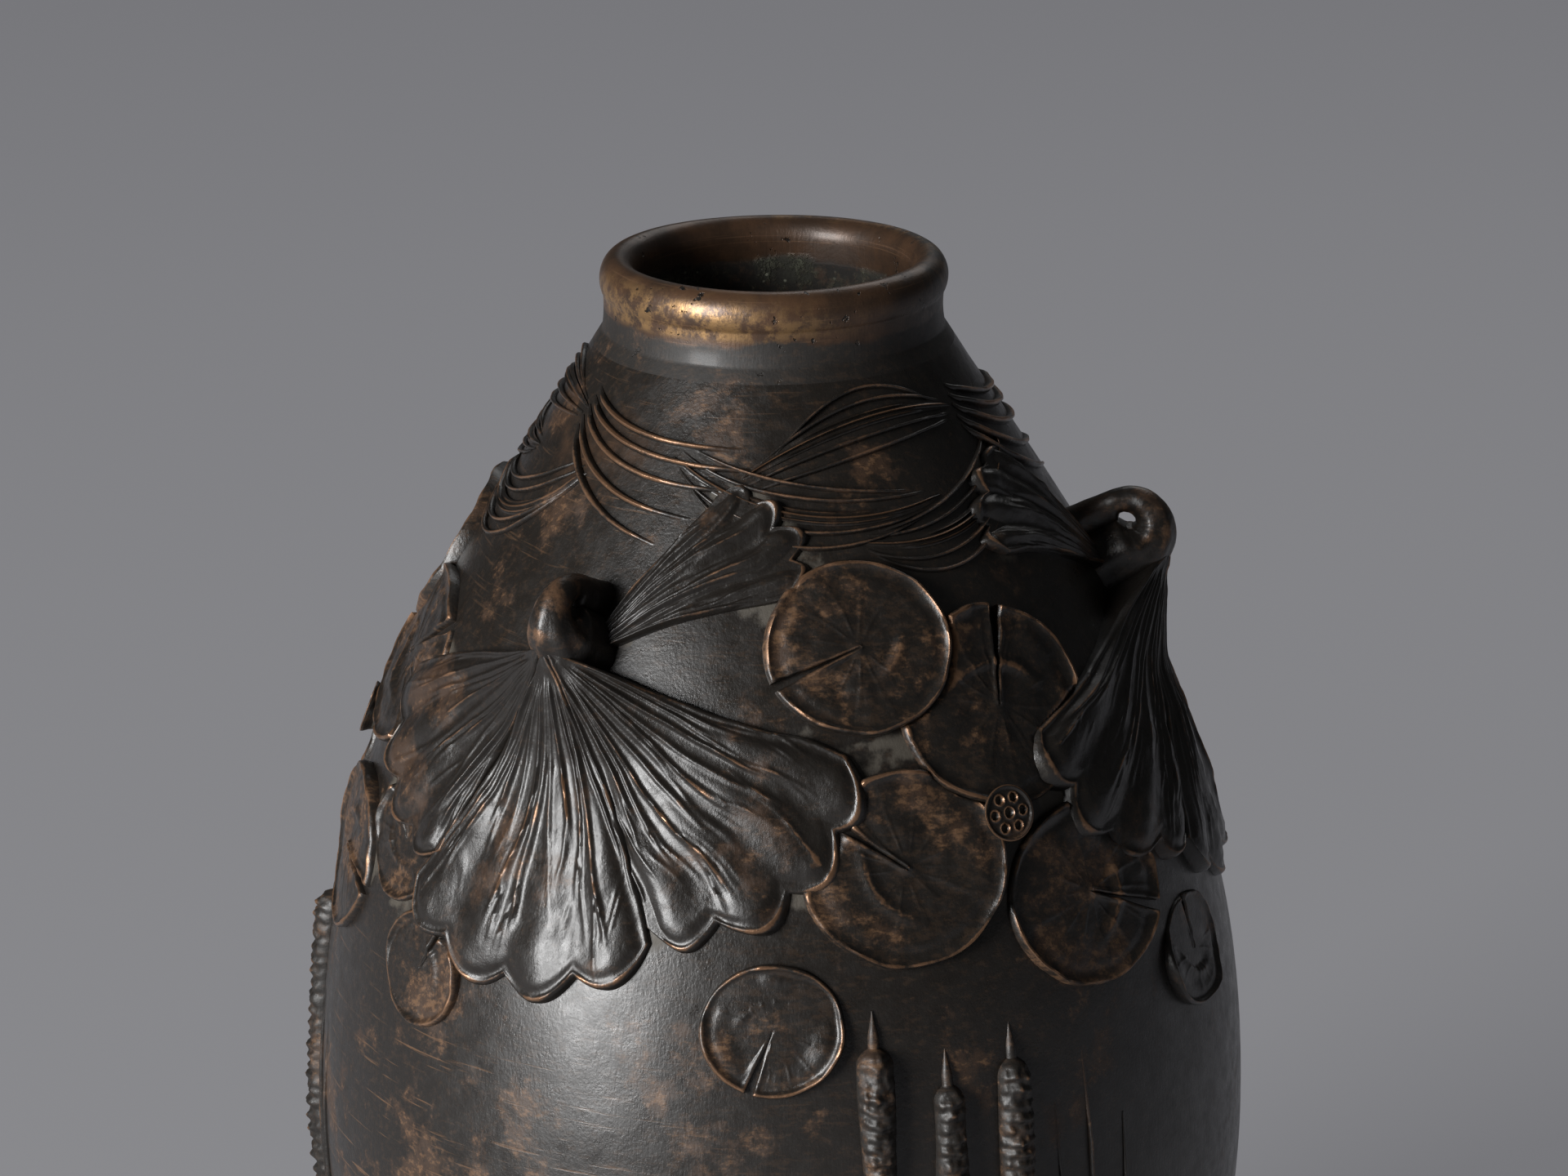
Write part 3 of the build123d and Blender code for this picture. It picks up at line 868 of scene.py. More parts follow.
def wall_bronze(colours):
    """Smooth patinated wall: earth close to the relief, brown scratched mottling low down."""
    found = bpy.data.materials.get("Wall bronze")
    if found:
        return found
    material, tree, place, shader = start_material("Wall bronze")
    near, inside = mark(tree, "near_relief"), mark(tree, "inside")
    rubbed, collar = mark(tree, "handled"), mark(tree, "collar")
    patina = use_group(
        tree, "Patina", {"Place": place, "Thinning": maths(tree, "MULTIPLY", rubbed, 0.085)},
        Dark=full(colours.dark), Brown=full(colours.brown), Tan=full(colours.tan), Speckle=0.06,
    )
    slant = add_node(
        tree, "ShaderNodeMapping", {"Vector": place}, Scale=(45.0, 45.0, 1100.0),
        Rotation=(0.0, 0.42, 0.0),
    )
    lines = use_group(
        tree, "Scratches", {"Place": slant.outputs["Vector"], "Amount": rubbed}
    )["Mask"]
    held = use_group(tree, "Residue", {"Place": place, "Hollow": near}, Amount=0.72)["Mask"]
    throat = throat_crust(tree, place, colours)
    browned = maths(tree, "MULTIPLY", collar, noise(tree, place, 160.0, 5.0, 0.6))
    browned = window(tree, browned, 0.12, 0.55)
    colour = blend(tree, browned, patina["Colour"], full(colours.lip))
    colour = blend(tree, lines, colour, full(colours.tan))
    colour = blend(tree, held, colour, full(colours.residue))
    colour = blend(tree, inside, colour, throat["Colour"])
    tree.links.new(colour, shader.inputs["Base Color"])
    sheen = maths(tree, "ADD", patina["Dull"], 0.34)
    sheen = maths(tree, "ADD", sheen, maths(tree, "MULTIPLY", held, 0.30), clamp=True)
    sheen = maths(tree, "MAXIMUM", sheen, maths(tree, "MULTIPLY", inside, 0.85))
    tree.links.new(sheen, shader.inputs["Roughness"])
    skin = use_group(tree, "Cast skin", {"Place": place}, Grain=0.9, Pits=0.10)["Height"]
    skin = maths(tree, "ADD", skin, maths(tree, "MULTIPLY", lines, -0.00004))
    skin = maths(tree, "ADD", skin, maths(tree, "MULTIPLY", throat["Height"], inside))
    emboss(tree, shader, skin)
    wax(shader, 0.18, 0.26)
    return material


def lip_bronze(colours):
    """Handled brown lip with golden rubbing, dark pits and lines left by turning, dark patina on its
    collar and painted shade on its right side.
    """
    found = bpy.data.materials.get("Lip bronze")
    if found:
        return found
    material, tree, place, shader = start_material("Lip bronze")
    high, inside, shade = (mark(tree, name) for name in ("rub", "inside", "hollow"))
    patina = use_group(
        tree, "Patina", {"Place": place}, Dark=full(colours.dark), Brown=full(colours.brown),
        Tan=full(colours.tan), Thinning=0.03, Speckle=0.08,
    )["Colour"]
    cloud = window(tree, noise(tree, place, 60.0, 7.0, 0.66), 0.36, 0.62)
    brown = blend(tree, cloud, full(colours.lip), full(colours.brown))
    patches = window(tree, noise(tree, place, 200.0, 7.0, 0.74), 0.43, 0.60)
    worn = maths(tree, "MULTIPLY", window(tree, high, 0.10, 0.75), patches)
    shade = maths(tree, "ADD", shade, maths(tree, "MULTIPLY", patches, -0.25))
    shade = window(tree, shade, 0.15, 0.75)
    # The "hollow" mark turns the brown to dark patina on the collar, and as painted shade on the lip's
    # right side.
    brown = blend(tree, shade, brown, patina)
    colour = blend(tree, worn, brown, full(colours.gold))
    stretched = add_node(
        tree, "ShaderNodeMapping", {"Vector": place}, Scale=(22.0, 22.0, 1700.0)
    ).outputs["Vector"]
    lines = use_group(tree, "Scratches", {"Place": stretched}, Amount=0.30)["Mask"]
    lines = maths(tree, "MULTIPLY", lines, maths(tree, "SUBTRACT", 1.0, shade))
    colour = blend(tree, lines, colour, full(colours.copper))
    pit = window(tree, noise(tree, place, 330.0, 3.0, 0.55), 0.655, 0.70)
    rare = window(tree, noise(tree, place, 55.0, 2.0, 0.5), 0.42, 0.52)
    pit = maths(tree, "MULTIPLY", pit, rare)
    colour = blend(tree, pit, colour, full(colours.dark))
    throat = throat_crust(tree, place, colours)
    colour = blend(tree, inside, colour, throat["Colour"])
    tree.links.new(colour, shader.inputs["Base Color"])
    bared = maths(tree, "ADD", maths(tree, "MULTIPLY", worn, 0.45), 0.30)
    covered = maths(tree, "MAXIMUM", inside, shade)
    outside = maths(tree, "SUBTRACT", 1.0, covered)
    tree.links.new(maths(tree, "MULTIPLY", bared, outside), shader.inputs["Metallic"])
    sheen = maths(tree, "ADD", maths(tree, "MULTIPLY", cloud, 0.08), 0.36)
    sheen = maths(tree, "ADD", sheen, maths(tree, "MULTIPLY", shade, 0.18))
    sheen = maths(tree, "MAXIMUM", sheen, maths(tree, "MULTIPLY", inside, 0.85))
    tree.links.new(sheen, shader.inputs["Roughness"])
    skin = use_group(tree, "Cast skin", {"Place": place}, Grain=0.5, Pits=0.15)["Height"]
    skin = maths(tree, "SUBTRACT", skin, maths(tree, "MULTIPLY", pit, 0.0004))
    skin = maths(tree, "ADD", skin, maths(tree, "MULTIPLY", throat["Height"], inside))
    emboss(tree, shader, skin)
    wax(shader, 0.14, 0.20)
    return material


# Forms of the plants
def fan_aim(letter, direction):
    """Way a fan leaf points from its knot. The leaves of knot b lie the other way round."""
    return 180 - direction if letter == "b" else direction


def fan_border(reach, a):
    """Length of a fan leaf along the ray at a, which runs from -1 to 1 across the leaf."""
    return reach * (1 - FAN_ROUNDING * a**2)


def fan_form(seat, aim, half_angle, reach, proud, plants, tented, seed):
    """Drooping lobe of a leaf: forked ribs from the knot, pleats, a crumpled middle and a
    scalloped, beaded edge."""
    tent_height = plants.tent_height / MM
    tent_radius = plants.tent_radius / MM
    spread = math.radians(half_angle)
    start = 2.0

    def form(u, v, tuck):
        a = 1 - 2 * crowded(u)
        scallop = 1 + 0.07 * np.abs(np.sin(2 * np.pi * a))
        border = fan_border(reach, a) * scallop - tuck
        border = border + 0.7 * lumps(flat_points(a * 5.0, seed), 1.0, seed)
        r = start + (border - start) * crowded(v, 0.45)
        share = r / border
        sway = 0.030 * np.sin(r / 13 + seed) + 0.02 * lumps(flat_points(r / 9, seed), 1.0, seed)
        angle = math.radians(aim) + spread * a * (1 - tuck / 40) + sway * step_up(share, 0.15, 0.5)
        x, y = r * np.cos(angle), r * np.sin(angle)
        n, facing = seat.depth(x, y)
        across = spread * a * r
        side = (1 - np.abs(a)) * spread * r
        edge = np.minimum(side, border - r)
        near = flat_points(across, r)
        pleats = -0.60 * np.cos(4 * np.pi * a) * step_up(share, 0.2, 0.85)
        ribs = np.zeros_like(r)
        for k in range(FAN_RIBS):
            line = -0.90 + 0.18 * k + 0.05 * np.sin(r / 12 + 1.7 * k + seed)
            stop = 0.42 + 0.34 * math.sin(2.4 * k + seed) ** 2
            fade = step_up(r, 5, 11) * (1 - step_up(share, stop, stop + 0.16))
            width = 0.50 + 0.35 * (k == 5) + 0.15 * math.sin(k + seed) ** 2
            tall = 0.55 + 0.35 * math.sin(1.3 * k + seed) ** 2
            ribs = np.maximum(ribs, tall * fade * bump((a - line) * spread * r, 0, width))
            fork = line + 0.11 * (1 - 2 * (k % 2)) * step_up(share, stop - 0.18, 1.0)
            late = step_up(share, stop - 0.16, stop - 0.02)
            late = late * (1 - step_up(share, stop + 0.1, stop + 0.3))
            ribs = np.maximum(ribs, 0.40 * late * bump((a - fork) * spread * r, 0, 0.45))
        strokes = lumps(flat_points(across / 1.15, r / 13), 1.0, seed + 3)
        strokes = 0.26 * step_up(np.abs(strokes), 0.50, 0.80) * step_up(share, 0.56, 0.66)
        strokes = strokes * (1 - step_up(share, 0.80 + 0.05 * lumps(near, 6.0, seed), 0.90))
        crumple = 0.9 * lumps(near * (0.5, 1.0, 1.0), 5.0, seed + 5) * bump(share, 0.55, 0.09)
        crumple = crumple * step_up(lumps(near, 16.0, seed + 8), -0.25, 0.35)
        unrest = 0.55 * rough(near, 12.0, seed + 7) + 0.07 * rough(near, 1.6, seed + 9)
        bead = (0.34 + 0.22 * lumps(near, 4.0, seed + 2)) * bump(edge, 0.8, 0.5)
        groove = -0.22 * bump(edge, 2.4, 0.9)
        curl = 0.8 * np.sin(5.2 * a + seed) * step_up(share, 0.82, 1.0)
        thin = -0.55 * (1 - step_up(edge, 0.5, 5.0))
        body = proud + pleats + ribs + strokes + crumple + unrest + bead + groove + curl + thin
        body = np.maximum(body, 1.1) - 0.8 * rounded_off(edge, 0.6)
        height = body / facing
        if tented:
            lifted = tent_height * (1 - r / tent_radius) + body - proud - n
            gap = height - lifted
            height = 0.5 * (height + lifted + np.sqrt(gap**2 + 4.0))
        height = height + 1.5 * np.exp(-np.maximum(r - 4.4, 0) / 3.2)
        return seat.place(x, y, n), seat.out, height, edge

    return form


def under_fans(points, wall, plants):
    """1 where a place on the wall is under a fan leaf, 0 where it is free."""
    under = np.zeros(points.shape[:-1])
    for letter, turn in KNOT_TURNS.items():
        seat = Seat(wall, turn, KNOT_SHARE)
        from_knot = points - seat.origin
        x, y, n = from_knot @ seat.across, from_knot @ seat.up, from_knot @ seat.out
        r = np.hypot(x, y)
        for direction, half_angle, reach, _ in FANS:
            aim = math.radians(fan_aim(letter, direction))
            a = np.degrees(np.angle(np.exp(1j * (np.arctan2(y, x) - aim)))) / half_angle
            border = 1.03 * fan_border(reach * plants.fan_reach / MM, a)
            within = np.minimum((1 - np.abs(a)) * np.radians(half_angle) * r, border - r)
            same_side = n > -plants.fan_reach / MM
            under = np.maximum(under, step_up(within, 0.0, 1.2) * same_side)
    return under


def under_pads(points, higher):
    """1 where a place on the wall is under one of the higher round leaves, 0 where it is free."""
    under = np.zeros(points.shape[:-1])
    for seat, radius in higher:
        from_middle = points - seat.origin
        x, y = from_middle @ seat.across, from_middle @ seat.up
        under = np.maximum(under, step_up(radius - np.hypot(x, y / PAD_OVAL), 0.0, 1.0))
    return under


def pad_form(seat, radius, slit, proud, plants, higher, seed):
    """Round floating leaf: thin raised rim, shallow dish, faint veins and one folded crescent."""
    tip = 0.7 * math.sin(3.1 * seed)
    crease_way = math.radians(70 * seed)

    def form(u, v, tuck):
        turn = crowded(u, 0.25)
        opened = PAD_SLIT * step_up(crowded(v, 0.35), 0.12, 0.75) + 0.6
        angle = np.radians(slit + opened + (360 - 2 * opened) * (1 - turn))
        lobe = 1 + 0.018 * lumps(flat_points(3 * np.cos(angle), 3 * np.sin(angle)), 1.0, seed)
        r = (radius * lobe - tuck) * crowded(v, 0.35)
        x, y = r * np.cos(angle), PAD_OVAL * r * np.sin(angle)
        n, facing = seat.depth(x, y)
        near = flat_points(x, y)
        share = r / radius
        from_slit = np.minimum(turn, 1 - turn) * 2 * np.pi * r
        edge = np.minimum((radius * lobe - tuck) - r, from_slit + 0.12)
        dish = -1.30 * (1 - share**2.5) + 0.55 * np.sin(3 * angle + seed) * share**3
        dish = dish - 0.35 * bump(share, 0.86, 0.07)
        lean = 0.95 * tip * share * np.cos(angle - crease_way)
        veins = np.zeros_like(r)
        for k in range(PAD_VEINS):
            ray = math.radians(slit) + 2 * math.pi * (k + 0.5) / PAD_VEINS + 0.05 * np.sin(r / 6 + k)
            gap = np.angle(np.exp(1j * (angle - ray))) * r
            veins = np.maximum(veins, bump(gap, 0, 0.34))
        veins = 0.13 * veins * step_up(share, 0.10, 0.25) * (1 - step_up(share, 0.72, 0.9))
        from_fold = np.hypot(x - 0.24 * radius * math.cos(crease_way),
                             y - 0.24 * radius * math.sin(crease_way))
        fold_turn = np.cos(np.arctan2(y, x) - crease_way - math.pi)
        ridge = bump(from_fold, 0.62 * radius, 1.3) * step_up(fold_turn, 0.1, 0.9)
        shelf = 0.40 * step_up(from_fold, 0.52 * radius, 0.62 * radius) * step_up(fold_turn, 0.0, 0.8)
        boss = 0.30 * bump(r, 0, 2.2)
        rim = (0.42 + 0.30 * lumps(near, 3.4, seed)) * bump(edge, 0.80, 0.55)
        unrest = 0.85 * rough(near, 11.0, seed + 4) + 0.11 * rough(near, 2.2, seed + 6)
        body = proud + dish + lean + veins + 0.62 * ridge + shelf + boss + rim + unrest
        body = np.maximum(body, 0.55) - 0.7 * rounded_off(edge, 0.5)
        ground = seat.place(x, y, n)
        under = np.maximum(under_fans(ground, seat.wall, plants), under_pads(ground, higher))
        body = body * (1 - under) + 0.35 * under
        return ground, seat.out, body / facing, edge + FAR_OFF * under

    return form


def reed_form(wall, middle, places, half_width, seed):
    """Long blade bent through three places, with a sharp crest and a fine line on each side."""
    seat = Seat(wall, middle + places[1][0], places[1][1])
    root, waist, tip = (seat.local(middle + turn, share) for turn, share in places)
    first, second = waist - root, tip - root
    cross = 2 * (first.real * second.imag - first.imag * second.real)
    hub = complex(
        (second.imag * abs(first) ** 2 - first.imag * abs(second) ** 2) / cross,
        (first.real * abs(second) ** 2 - second.real * abs(first) ** 2) / cross,
    )
    radius = abs(hub)
    hub = hub + root
    begin = np.angle(root - hub)
    sweep = np.angle((tip - hub) / (root - hub))
    bend = np.angle((waist - hub) / (root - hub))
    if sweep * bend < 0 or abs(bend) > abs(sweep):
        sweep -= math.copysign(2 * math.pi, sweep)

    def form(u, v, tuck):
        along = crowded(u, 0.3)
        over = 2 * v - 1
        lens = half_width * np.sqrt(np.clip(4 * along * (1 - along), 0, 1)) + 0.12
        angle = begin + sweep * along
        spoke = radius - math.copysign(1, sweep) * over * np.maximum(lens - tuck, 0.05)
        x = hub.real + spoke * np.cos(angle)
        y = hub.imag + spoke * np.sin(angle)
        n, facing = seat.depth(x, y)
        near = flat_points(along * abs(sweep) * radius, over * 2)
        crest = 1.10 * bump(over, 0.05, 0.20)
        for side, begins, ends in ((-0.62, 0.12, 0.88), (0.66, 0.22, 0.80)):
            run_share = step_up(along, begins, begins + 0.12) * (1 - step_up(along, ends - 0.12, ends))
            crest = np.maximum(crest, 0.75 * run_share * bump(over, side, 0.17))
        body = 0.28 + crest + 0.14 * rough(near, 5.0, seed)
        body = body * step_up(np.minimum(along, 1 - along), -0.02, 0.06)
        edge = (1 - np.abs(over)) * lens + 0.5
        return seat.place(x, y, n), seat.out, body / facing, edge

    return form


def stem_form(wall, places, half_width, seed):
    """Thin round stalk laid on the wall along a smooth line through three places."""
    (turn_a, turn_b, turn_c), (z_a, z_b, z_c) = zip(*places)

    def form(u, v, tuck):
        t = crowded(u, 0.2)
        turn, rate = curve_through(turn_a, turn_b, turn_c, t)
        z, climb = curve_through(z_a, z_b, z_c, t)
        round_way = np.radians(rate) * wall.radius(z)
        up_way = climb / np.cos(wall.tilt(z))
        pace = np.hypot(round_way, up_way)
        over = 2 * v - 1
        slender = half_width * (0.35 + 0.65 * np.sqrt(np.clip(4 * t * (1 - t), 0, 1)))
        off = over * np.maximum(slender - tuck, 0.1)
        turn = turn - np.degrees(off * up_way / pace / wall.radius(z))
        z = z + off * round_way / pace * np.cos(wall.tilt(z))
        ground, out = wall.at(turn, z)
        round_top = np.sqrt(np.clip(1 - over**2, 0, 1))
        height = 0.15 + 1.75 * slender * round_top * (1 + 0.16 * lumps(ground, 6.0, seed))
        height = height * step_up(np.minimum(t, 1 - t), -0.02, 0.16)
        return ground, out, height, np.full_like(height, FAR_OFF)

    return form


def curve_through(first, middle, last, t):
    """Value and rate of a quadratic curve through three values at 0, a half and 1."""
    bend = 2 * (first - 2 * middle + last)
    start = 4 * middle - 3 * first - last
    return first + start * t + bend * t**2, start + 2 * bend * t


def mace_form(wall, turn, low, high, plants, seed):
    """Half-round spike with a crumbling surface on a thin stem, and a bare tip above it."""
    spike, stem = plants.mace_radius / MM, plants.mace_stem_radius / MM
    stops = (wall.level(MACE_ROOT_SHARE), low, high, high + plants.mace_tip / MM)

    def form(u, v, tuck):
        z = np.interp(v, (0.0, 0.22, 0.92, 1.0), stops)
        inner = np.clip(np.minimum(z - low, high - z) / spike + 1.0, 0, 1)
        swell = np.sqrt(1 - (1 - inner) ** 2)
        girth = np.maximum(stem, spike * swell * (1 + 0.10 * np.sin(z / 9 + seed)))
        girth = girth * step_up(stops[3] - z, -1.5, 7) - tuck
        sweep = np.pi * u
        wide = -girth * np.cos(sweep)
        bend = 0.8 * np.sin(z / 31 + seed)
        ground, out = wall.at(turn + np.degrees((wide + bend) / wall.radius(z)), z)
        near = flat_points(wide, z, girth * np.sin(sweep))
        crumbs = grains(near * (1.0, 0.62, 1.0), 2.3, seed)
        crumbs = 1.25 * crumbs + 0.5 * rough(near, 3.2, seed + 1) + 0.25 * lumps(near, 0.9, seed + 2)
        rows = 0.35 * np.sin(z * 2.1 + 3 * lumps(near, 6.0, seed))
        crumbs = (crumbs + rows - 0.2) * step_up(swell * (z > low - spike), 0.5, 0.95)
        smooth = 0.15 * rough(near, 4.0, seed + 3)
        height = (girth * np.sin(sweep)) + (crumbs + smooth) * np.sin(sweep) ** 0.5
        return ground, out, np.maximum(height, 0.02), np.full_like(height, FAR_OFF)

    return form


# Operators, one for each group of pieces
def settings():
    """The vessel's sizes, the plants' sizes and the colours."""
    scene = bpy.context.scene
    return scene.vase_vessel, scene.vase_plants, scene.vase_colours


def place_of(letter):
    """0 for a, 1 for b and 2 for c, which sets each knot's own unevenness."""
    return "abc".index(letter)


def gap_middle(letter):
    """Turn of the middle of the gap beside a knot."""
    return KNOT_TURNS[letter] + GAP_TURN


def relief_outline(wall, plants):
    """Points along the outlines of all the castings, in millimetres."""
    points = []
    ring = np.linspace(0, 2 * np.pi, 90, endpoint=False)
    for letter, turn in KNOT_TURNS.items():
        seat = Seat(wall, turn, KNOT_SHARE)
        for direction, half_angle, reach, _ in FANS:
            aim = fan_aim(letter, direction)
            a = np.linspace(-1, 1, 60)
            r = fan_border(reach * plants.fan_reach / MM, a)
            sides = np.linspace(0.15, 1, 40)
            runs = [(r, a)] + [(r[0] * sides, np.full(40, end)) for end in (-1, 1)]
            for reach_here, across in runs:
                angle = np.radians(aim + half_angle * across)
                x, y = reach_here * np.cos(angle), reach_here * np.sin(angle)
                points.append(seat.place(x, y, seat.depth(x, y)[0]))
        for place, share, size, _ in PADS[letter]:
            seat = Seat(wall, gap_middle(letter) + place, share)
            radius = size * plants.pad_radius / MM
            x, y = radius * np.cos(ring), PAD_OVAL * radius * np.sin(ring)
            points.append(seat.place(x, y, seat.depth(x, y)[0]))
    return np.concatenate(points)


def wall_line(wall, lip, thick):
    """Closed outline of the wall: its outside, neck, socket, inside and foot."""
    socket = lip.end - SOCKET_BED
    heights = np.linspace(wall.foot_z, wall.neck_z, 400)
    outer = np.stack([wall.radius(heights), heights], axis=1)
    down = np.linspace(socket, wall.foot_z, 200)
    inner = np.stack([wall.radius(down) - thick / np.cos(wall.tilt(down)), down], axis=1)
    line = run(outer, 190) + run([tuple(outer[-1]), (lip.spigot, wall.neck_z)], 4)
    line += run([(lip.spigot, wall.neck_z), (lip.spigot, socket)], 4)
    line += run([(lip.spigot, socket), tuple(inner[0])], 2) + run(inner, 50)
    return line + run([tuple(inner[-1]), tuple(outer[0])], 3)


def near_outline(points, skipped, outline, within=8.0):
    """Distance from each point to the outline, and how many of its points lie within reach."""
    tree = KDTree(len(outline))
    for index, point in enumerate(outline):
        tree.insert(point, index)
    tree.balance()
    found = [[] if skip else tree.find_range(point, within) for point, skip in zip(points, skipped)]
    gaps = np.array([min((hit[2] for hit in hits), default=FAR_OFF) for hits in found])
    return gaps, np.array([len(hits) for hits in found])


class VASE_OT_wall(bpy.types.Operator):
    """Models the hollow wall"""

    bl_idname = "vase.wall"
    bl_label = "Vessel wall"

    def execute(self, context):
        sizes, plants, colours = settings()
        wall = Wall(sizes)
        thick = sizes.wall / MM
        obj = turned_piece("vase_wall", wall_line(wall, Lip(wall, sizes), thick), WALL_STEPS)
        points = read_points(obj) / MM
        reach, ahead, turn = round_axis(points)
        inside = reach < wall.radius(points[:, 2]) - 0.5 * thick
        swell = 0.35 * lumps(points, 38.0, 1) + 0.12 * lumps(points, 11.0, 2)
        calm = step_up(points[:, 2], wall.foot_z, wall.foot_z + 12)
        calm = calm * (1 - step_up(points[:, 2], wall.neck_z - 10, wall.neck_z))
        points = points + ahead * (np.minimum(swell, 0.3) * calm * ~inside)[:, None]
        gaps, hits = near_outline(points, inside, relief_outline(wall, plants))
        enclosed = step_up(hits, 13, 24)
        height = points[:, 2]
        low = (1 - step_up(height, 186, 238)) * bump(turn, -54, 40)
        handled = np.maximum(low, 0.45 * step_up(height, 275, 310) * bump(turn, -40, 45))
        handled = np.maximum(handled, 0.35 * (0.5 + 0.5 * lumps(points, 45.0, 6)) * (height < 180))
        near = np.clip(1.25 - gaps / 6.0, 0, 1) * enclosed * step_up(height, 195, 240)
        wander = height + 4 * lumps(points, 14.0, 12)
        collar = step_up(wander, 312, 334) * (1 - step_up(wander, 334, 345))
        collar = collar * 0.55 * bump(turn, -50, 36)
        write_points(obj, points)
        write_marks(
            obj, near_relief=near * ~inside, inside=inside.astype(float), handled=handled,
            collar=collar,
        )
        close_mesh(obj, 35.0)
        finish_piece(obj, wall_bronze(colours), "wall_bronze", "vessel_wall")
        return {"FINISHED"}


def lip_line(wall, lip):
    """Closed outline of the lip: its collar, roll, throat and spigot."""
    angles = np.radians(np.linspace(LIP_UNDER_ANGLE, 180, 90))
    bead = np.stack(
        [lip.middle + lip.half_width * np.cos(angles), lip.rise + lip.half_height * np.sin(angles)], 1
    )
    joint = np.array([lip.neck - COLLAR_RISE * math.tan(wall.slope), lip.top + COLLAR_RISE])
    waist = np.array([lip.neck - COLLAR_PINCH, 0.5 * (bead[0][1] + joint[1])])
    t = np.linspace(0, 1, 30)[:, None]
    collar = (1 - t) ** 2 * joint + 2 * t * (1 - t) * waist + t**2 * bead[0]
    line = run([(lip.neck, lip.top), tuple(joint)], 6) + run(collar, 22) + run(bead, 64)
    line += run([(lip.mouth, lip.rise), (lip.mouth, lip.end)], 26)
    line += run([(lip.mouth, lip.end), (lip.spigot, lip.end)], 3)
    line += run([(lip.spigot, lip.end), (lip.spigot, lip.top)], 4)
    return line + run([(lip.spigot, lip.top), (lip.neck, lip.top)], 3)


class VASE_OT_lip(bpy.types.Operator):
    """Models the rolled lip with its collar, throat and spigot"""

    bl_idname = "vase.lip"
    bl_label = "Rolled lip"

    def execute(self, context):
        sizes, _, colours = settings()
        wall = Wall(sizes)
        lip = Lip(wall, sizes)
        obj = turned_piece("vase_lip", lip_line(wall, lip), LIP_STEPS)
        points = read_points(obj) / MM
        reach, ahead, turn = round_axis(points)
        height = points[:, 2]
        free = step_up(height, lip.top + 1, lip.top + 8)
        swell = 0.30 * lumps(points, 22.0, 3) + 0.10 * lumps(points, 7.0, 4)
        points = points + ahead * (swell * free)[:, None]
        points[:, 2] += 0.25 * lumps(points, 30.0, 5) * free - 0.15 * free
        outer = step_up(reach, lip.mouth + 0.5, lip.middle)
        front = bump(height, lip.rise - 2, 5.0) * bump(turn, -42, 48)
        crown = bump(height, lip.rise + 4, 3.0) * bump(turn, 150, 70)
        rub = outer * (0.12 + 0.88 * np.maximum(front, 0.5 * crown))
        rub = rub * step_up(height, lip.top + 7, lip.top + 11)
        ring = points * (1, 1, 0)
        stain = lip.rise - 3.5 - 2.5 * bump(turn, 110, 45)
        stain = stain + 1.8 * lumps(ring, 13.0, 8) + 0.7 * lumps(ring, 4.0, 9)
        inside = (reach < lip.mouth + 1.0) * step_up(stain - height, -0.8, 0.8)
        border = lip.top + 9.0 + 1.2 * lumps(ring, 17.0, 13) + 0.7 * lumps(ring, 5.0, 14)
        # Dark patina on the collar below an uneven border, which is the lip's own colour, and painted
        # shade: the whole right side of the lip, away from the key softbox, is darkened to the patina
        # too. Both are stored under the mark "hollow".
        dark_collar_and_painted_side_shade = outer * (1 - step_up(height, border - 1.8, border + 1.8))
        dark_collar_and_painted_side_shade = np.maximum(dark_collar_and_painted_side_shade, 0.7 * outer * bump(turn, 95, 60))
        write_points(obj, points)
        write_marks(obj, rub=rub, inside=inside, hollow=dark_collar_and_painted_side_shade)
        close_mesh(obj, 40.0)
        finish_piece(obj, lip_bronze(colours), "lip_bronze", "rolled_lip")
        return {"FINISHED"}


class VASE_OT_foot(bpy.types.Operator):
    """Finishes the foot ring and the base plate"""

    bl_idname = "vase.foot"
    bl_label = "Foot and base plate"

    def execute(self, context):
        colours = settings()[2]
        finish = bronze("Foot bronze", colours, thinning=0.08, speckle=0.04, pits=0.6)
        for name in ("foot_ring", "base_plate"):
            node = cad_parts[name]
            node.data.materials.clear()
            node.data.materials.append(finish)
        return {"FINISHED"}


def tube(name, sides, cuts):
    """Upright tube of radius 1 and height 1, closed at both ends, cut across many times."""
    only()
    bpy.ops.mesh.primitive_cylinder_add(
        vertices=sides, radius=1.0, depth=1.0, location=(0, 0, 0.5), end_fill_type="TRIFAN"
    )
    obj = bpy.context.object
    obj.name = obj.data.name = name
    bpy.ops.object.transform_apply(location=True, rotation=True, scale=True)
    points = read_points(obj)
    bpy.ops.object.mode_set(mode="EDIT")
    bpy.ops.mesh.select_mode(type="EDGE")
    bpy.ops.mesh.select_all(action="DESELECT")
    bpy.ops.object.mode_set(mode="OBJECT")
    for item in obj.data.edges:
        one, two = item.vertices
        item.select = abs(points[one][2] - points[two][2]) > 0.5
    bpy.ops.object.mode_set(mode="EDIT")
    bpy.ops.mesh.subdivide_edgering(number_cuts=cuts, interpolation="LINEAR")
    bpy.ops.mesh.select_mode(type="VERT")
    bpy.ops.object.mode_set(mode="OBJECT")
    return obj


def smooth_line(points, shares):
    """Places along a smooth line through evenly shared points."""
    count = len(points) - 1
    padded = np.vstack([2 * points[0] - points[1], points, 2 * points[-1] - points[-2]])
    index = np.minimum((shares * count).astype(int), count - 1)
    t = (shares * count - index)[:, None]
    a, b, c, d = (padded[index + k] for k in range(4))
    return 0.5 * (2 * b + (c - a) * t + (2 * a - 5 * b + 4 * c - d) * t**2
                  + (3 * b - a - 3 * c + d) * t**3)


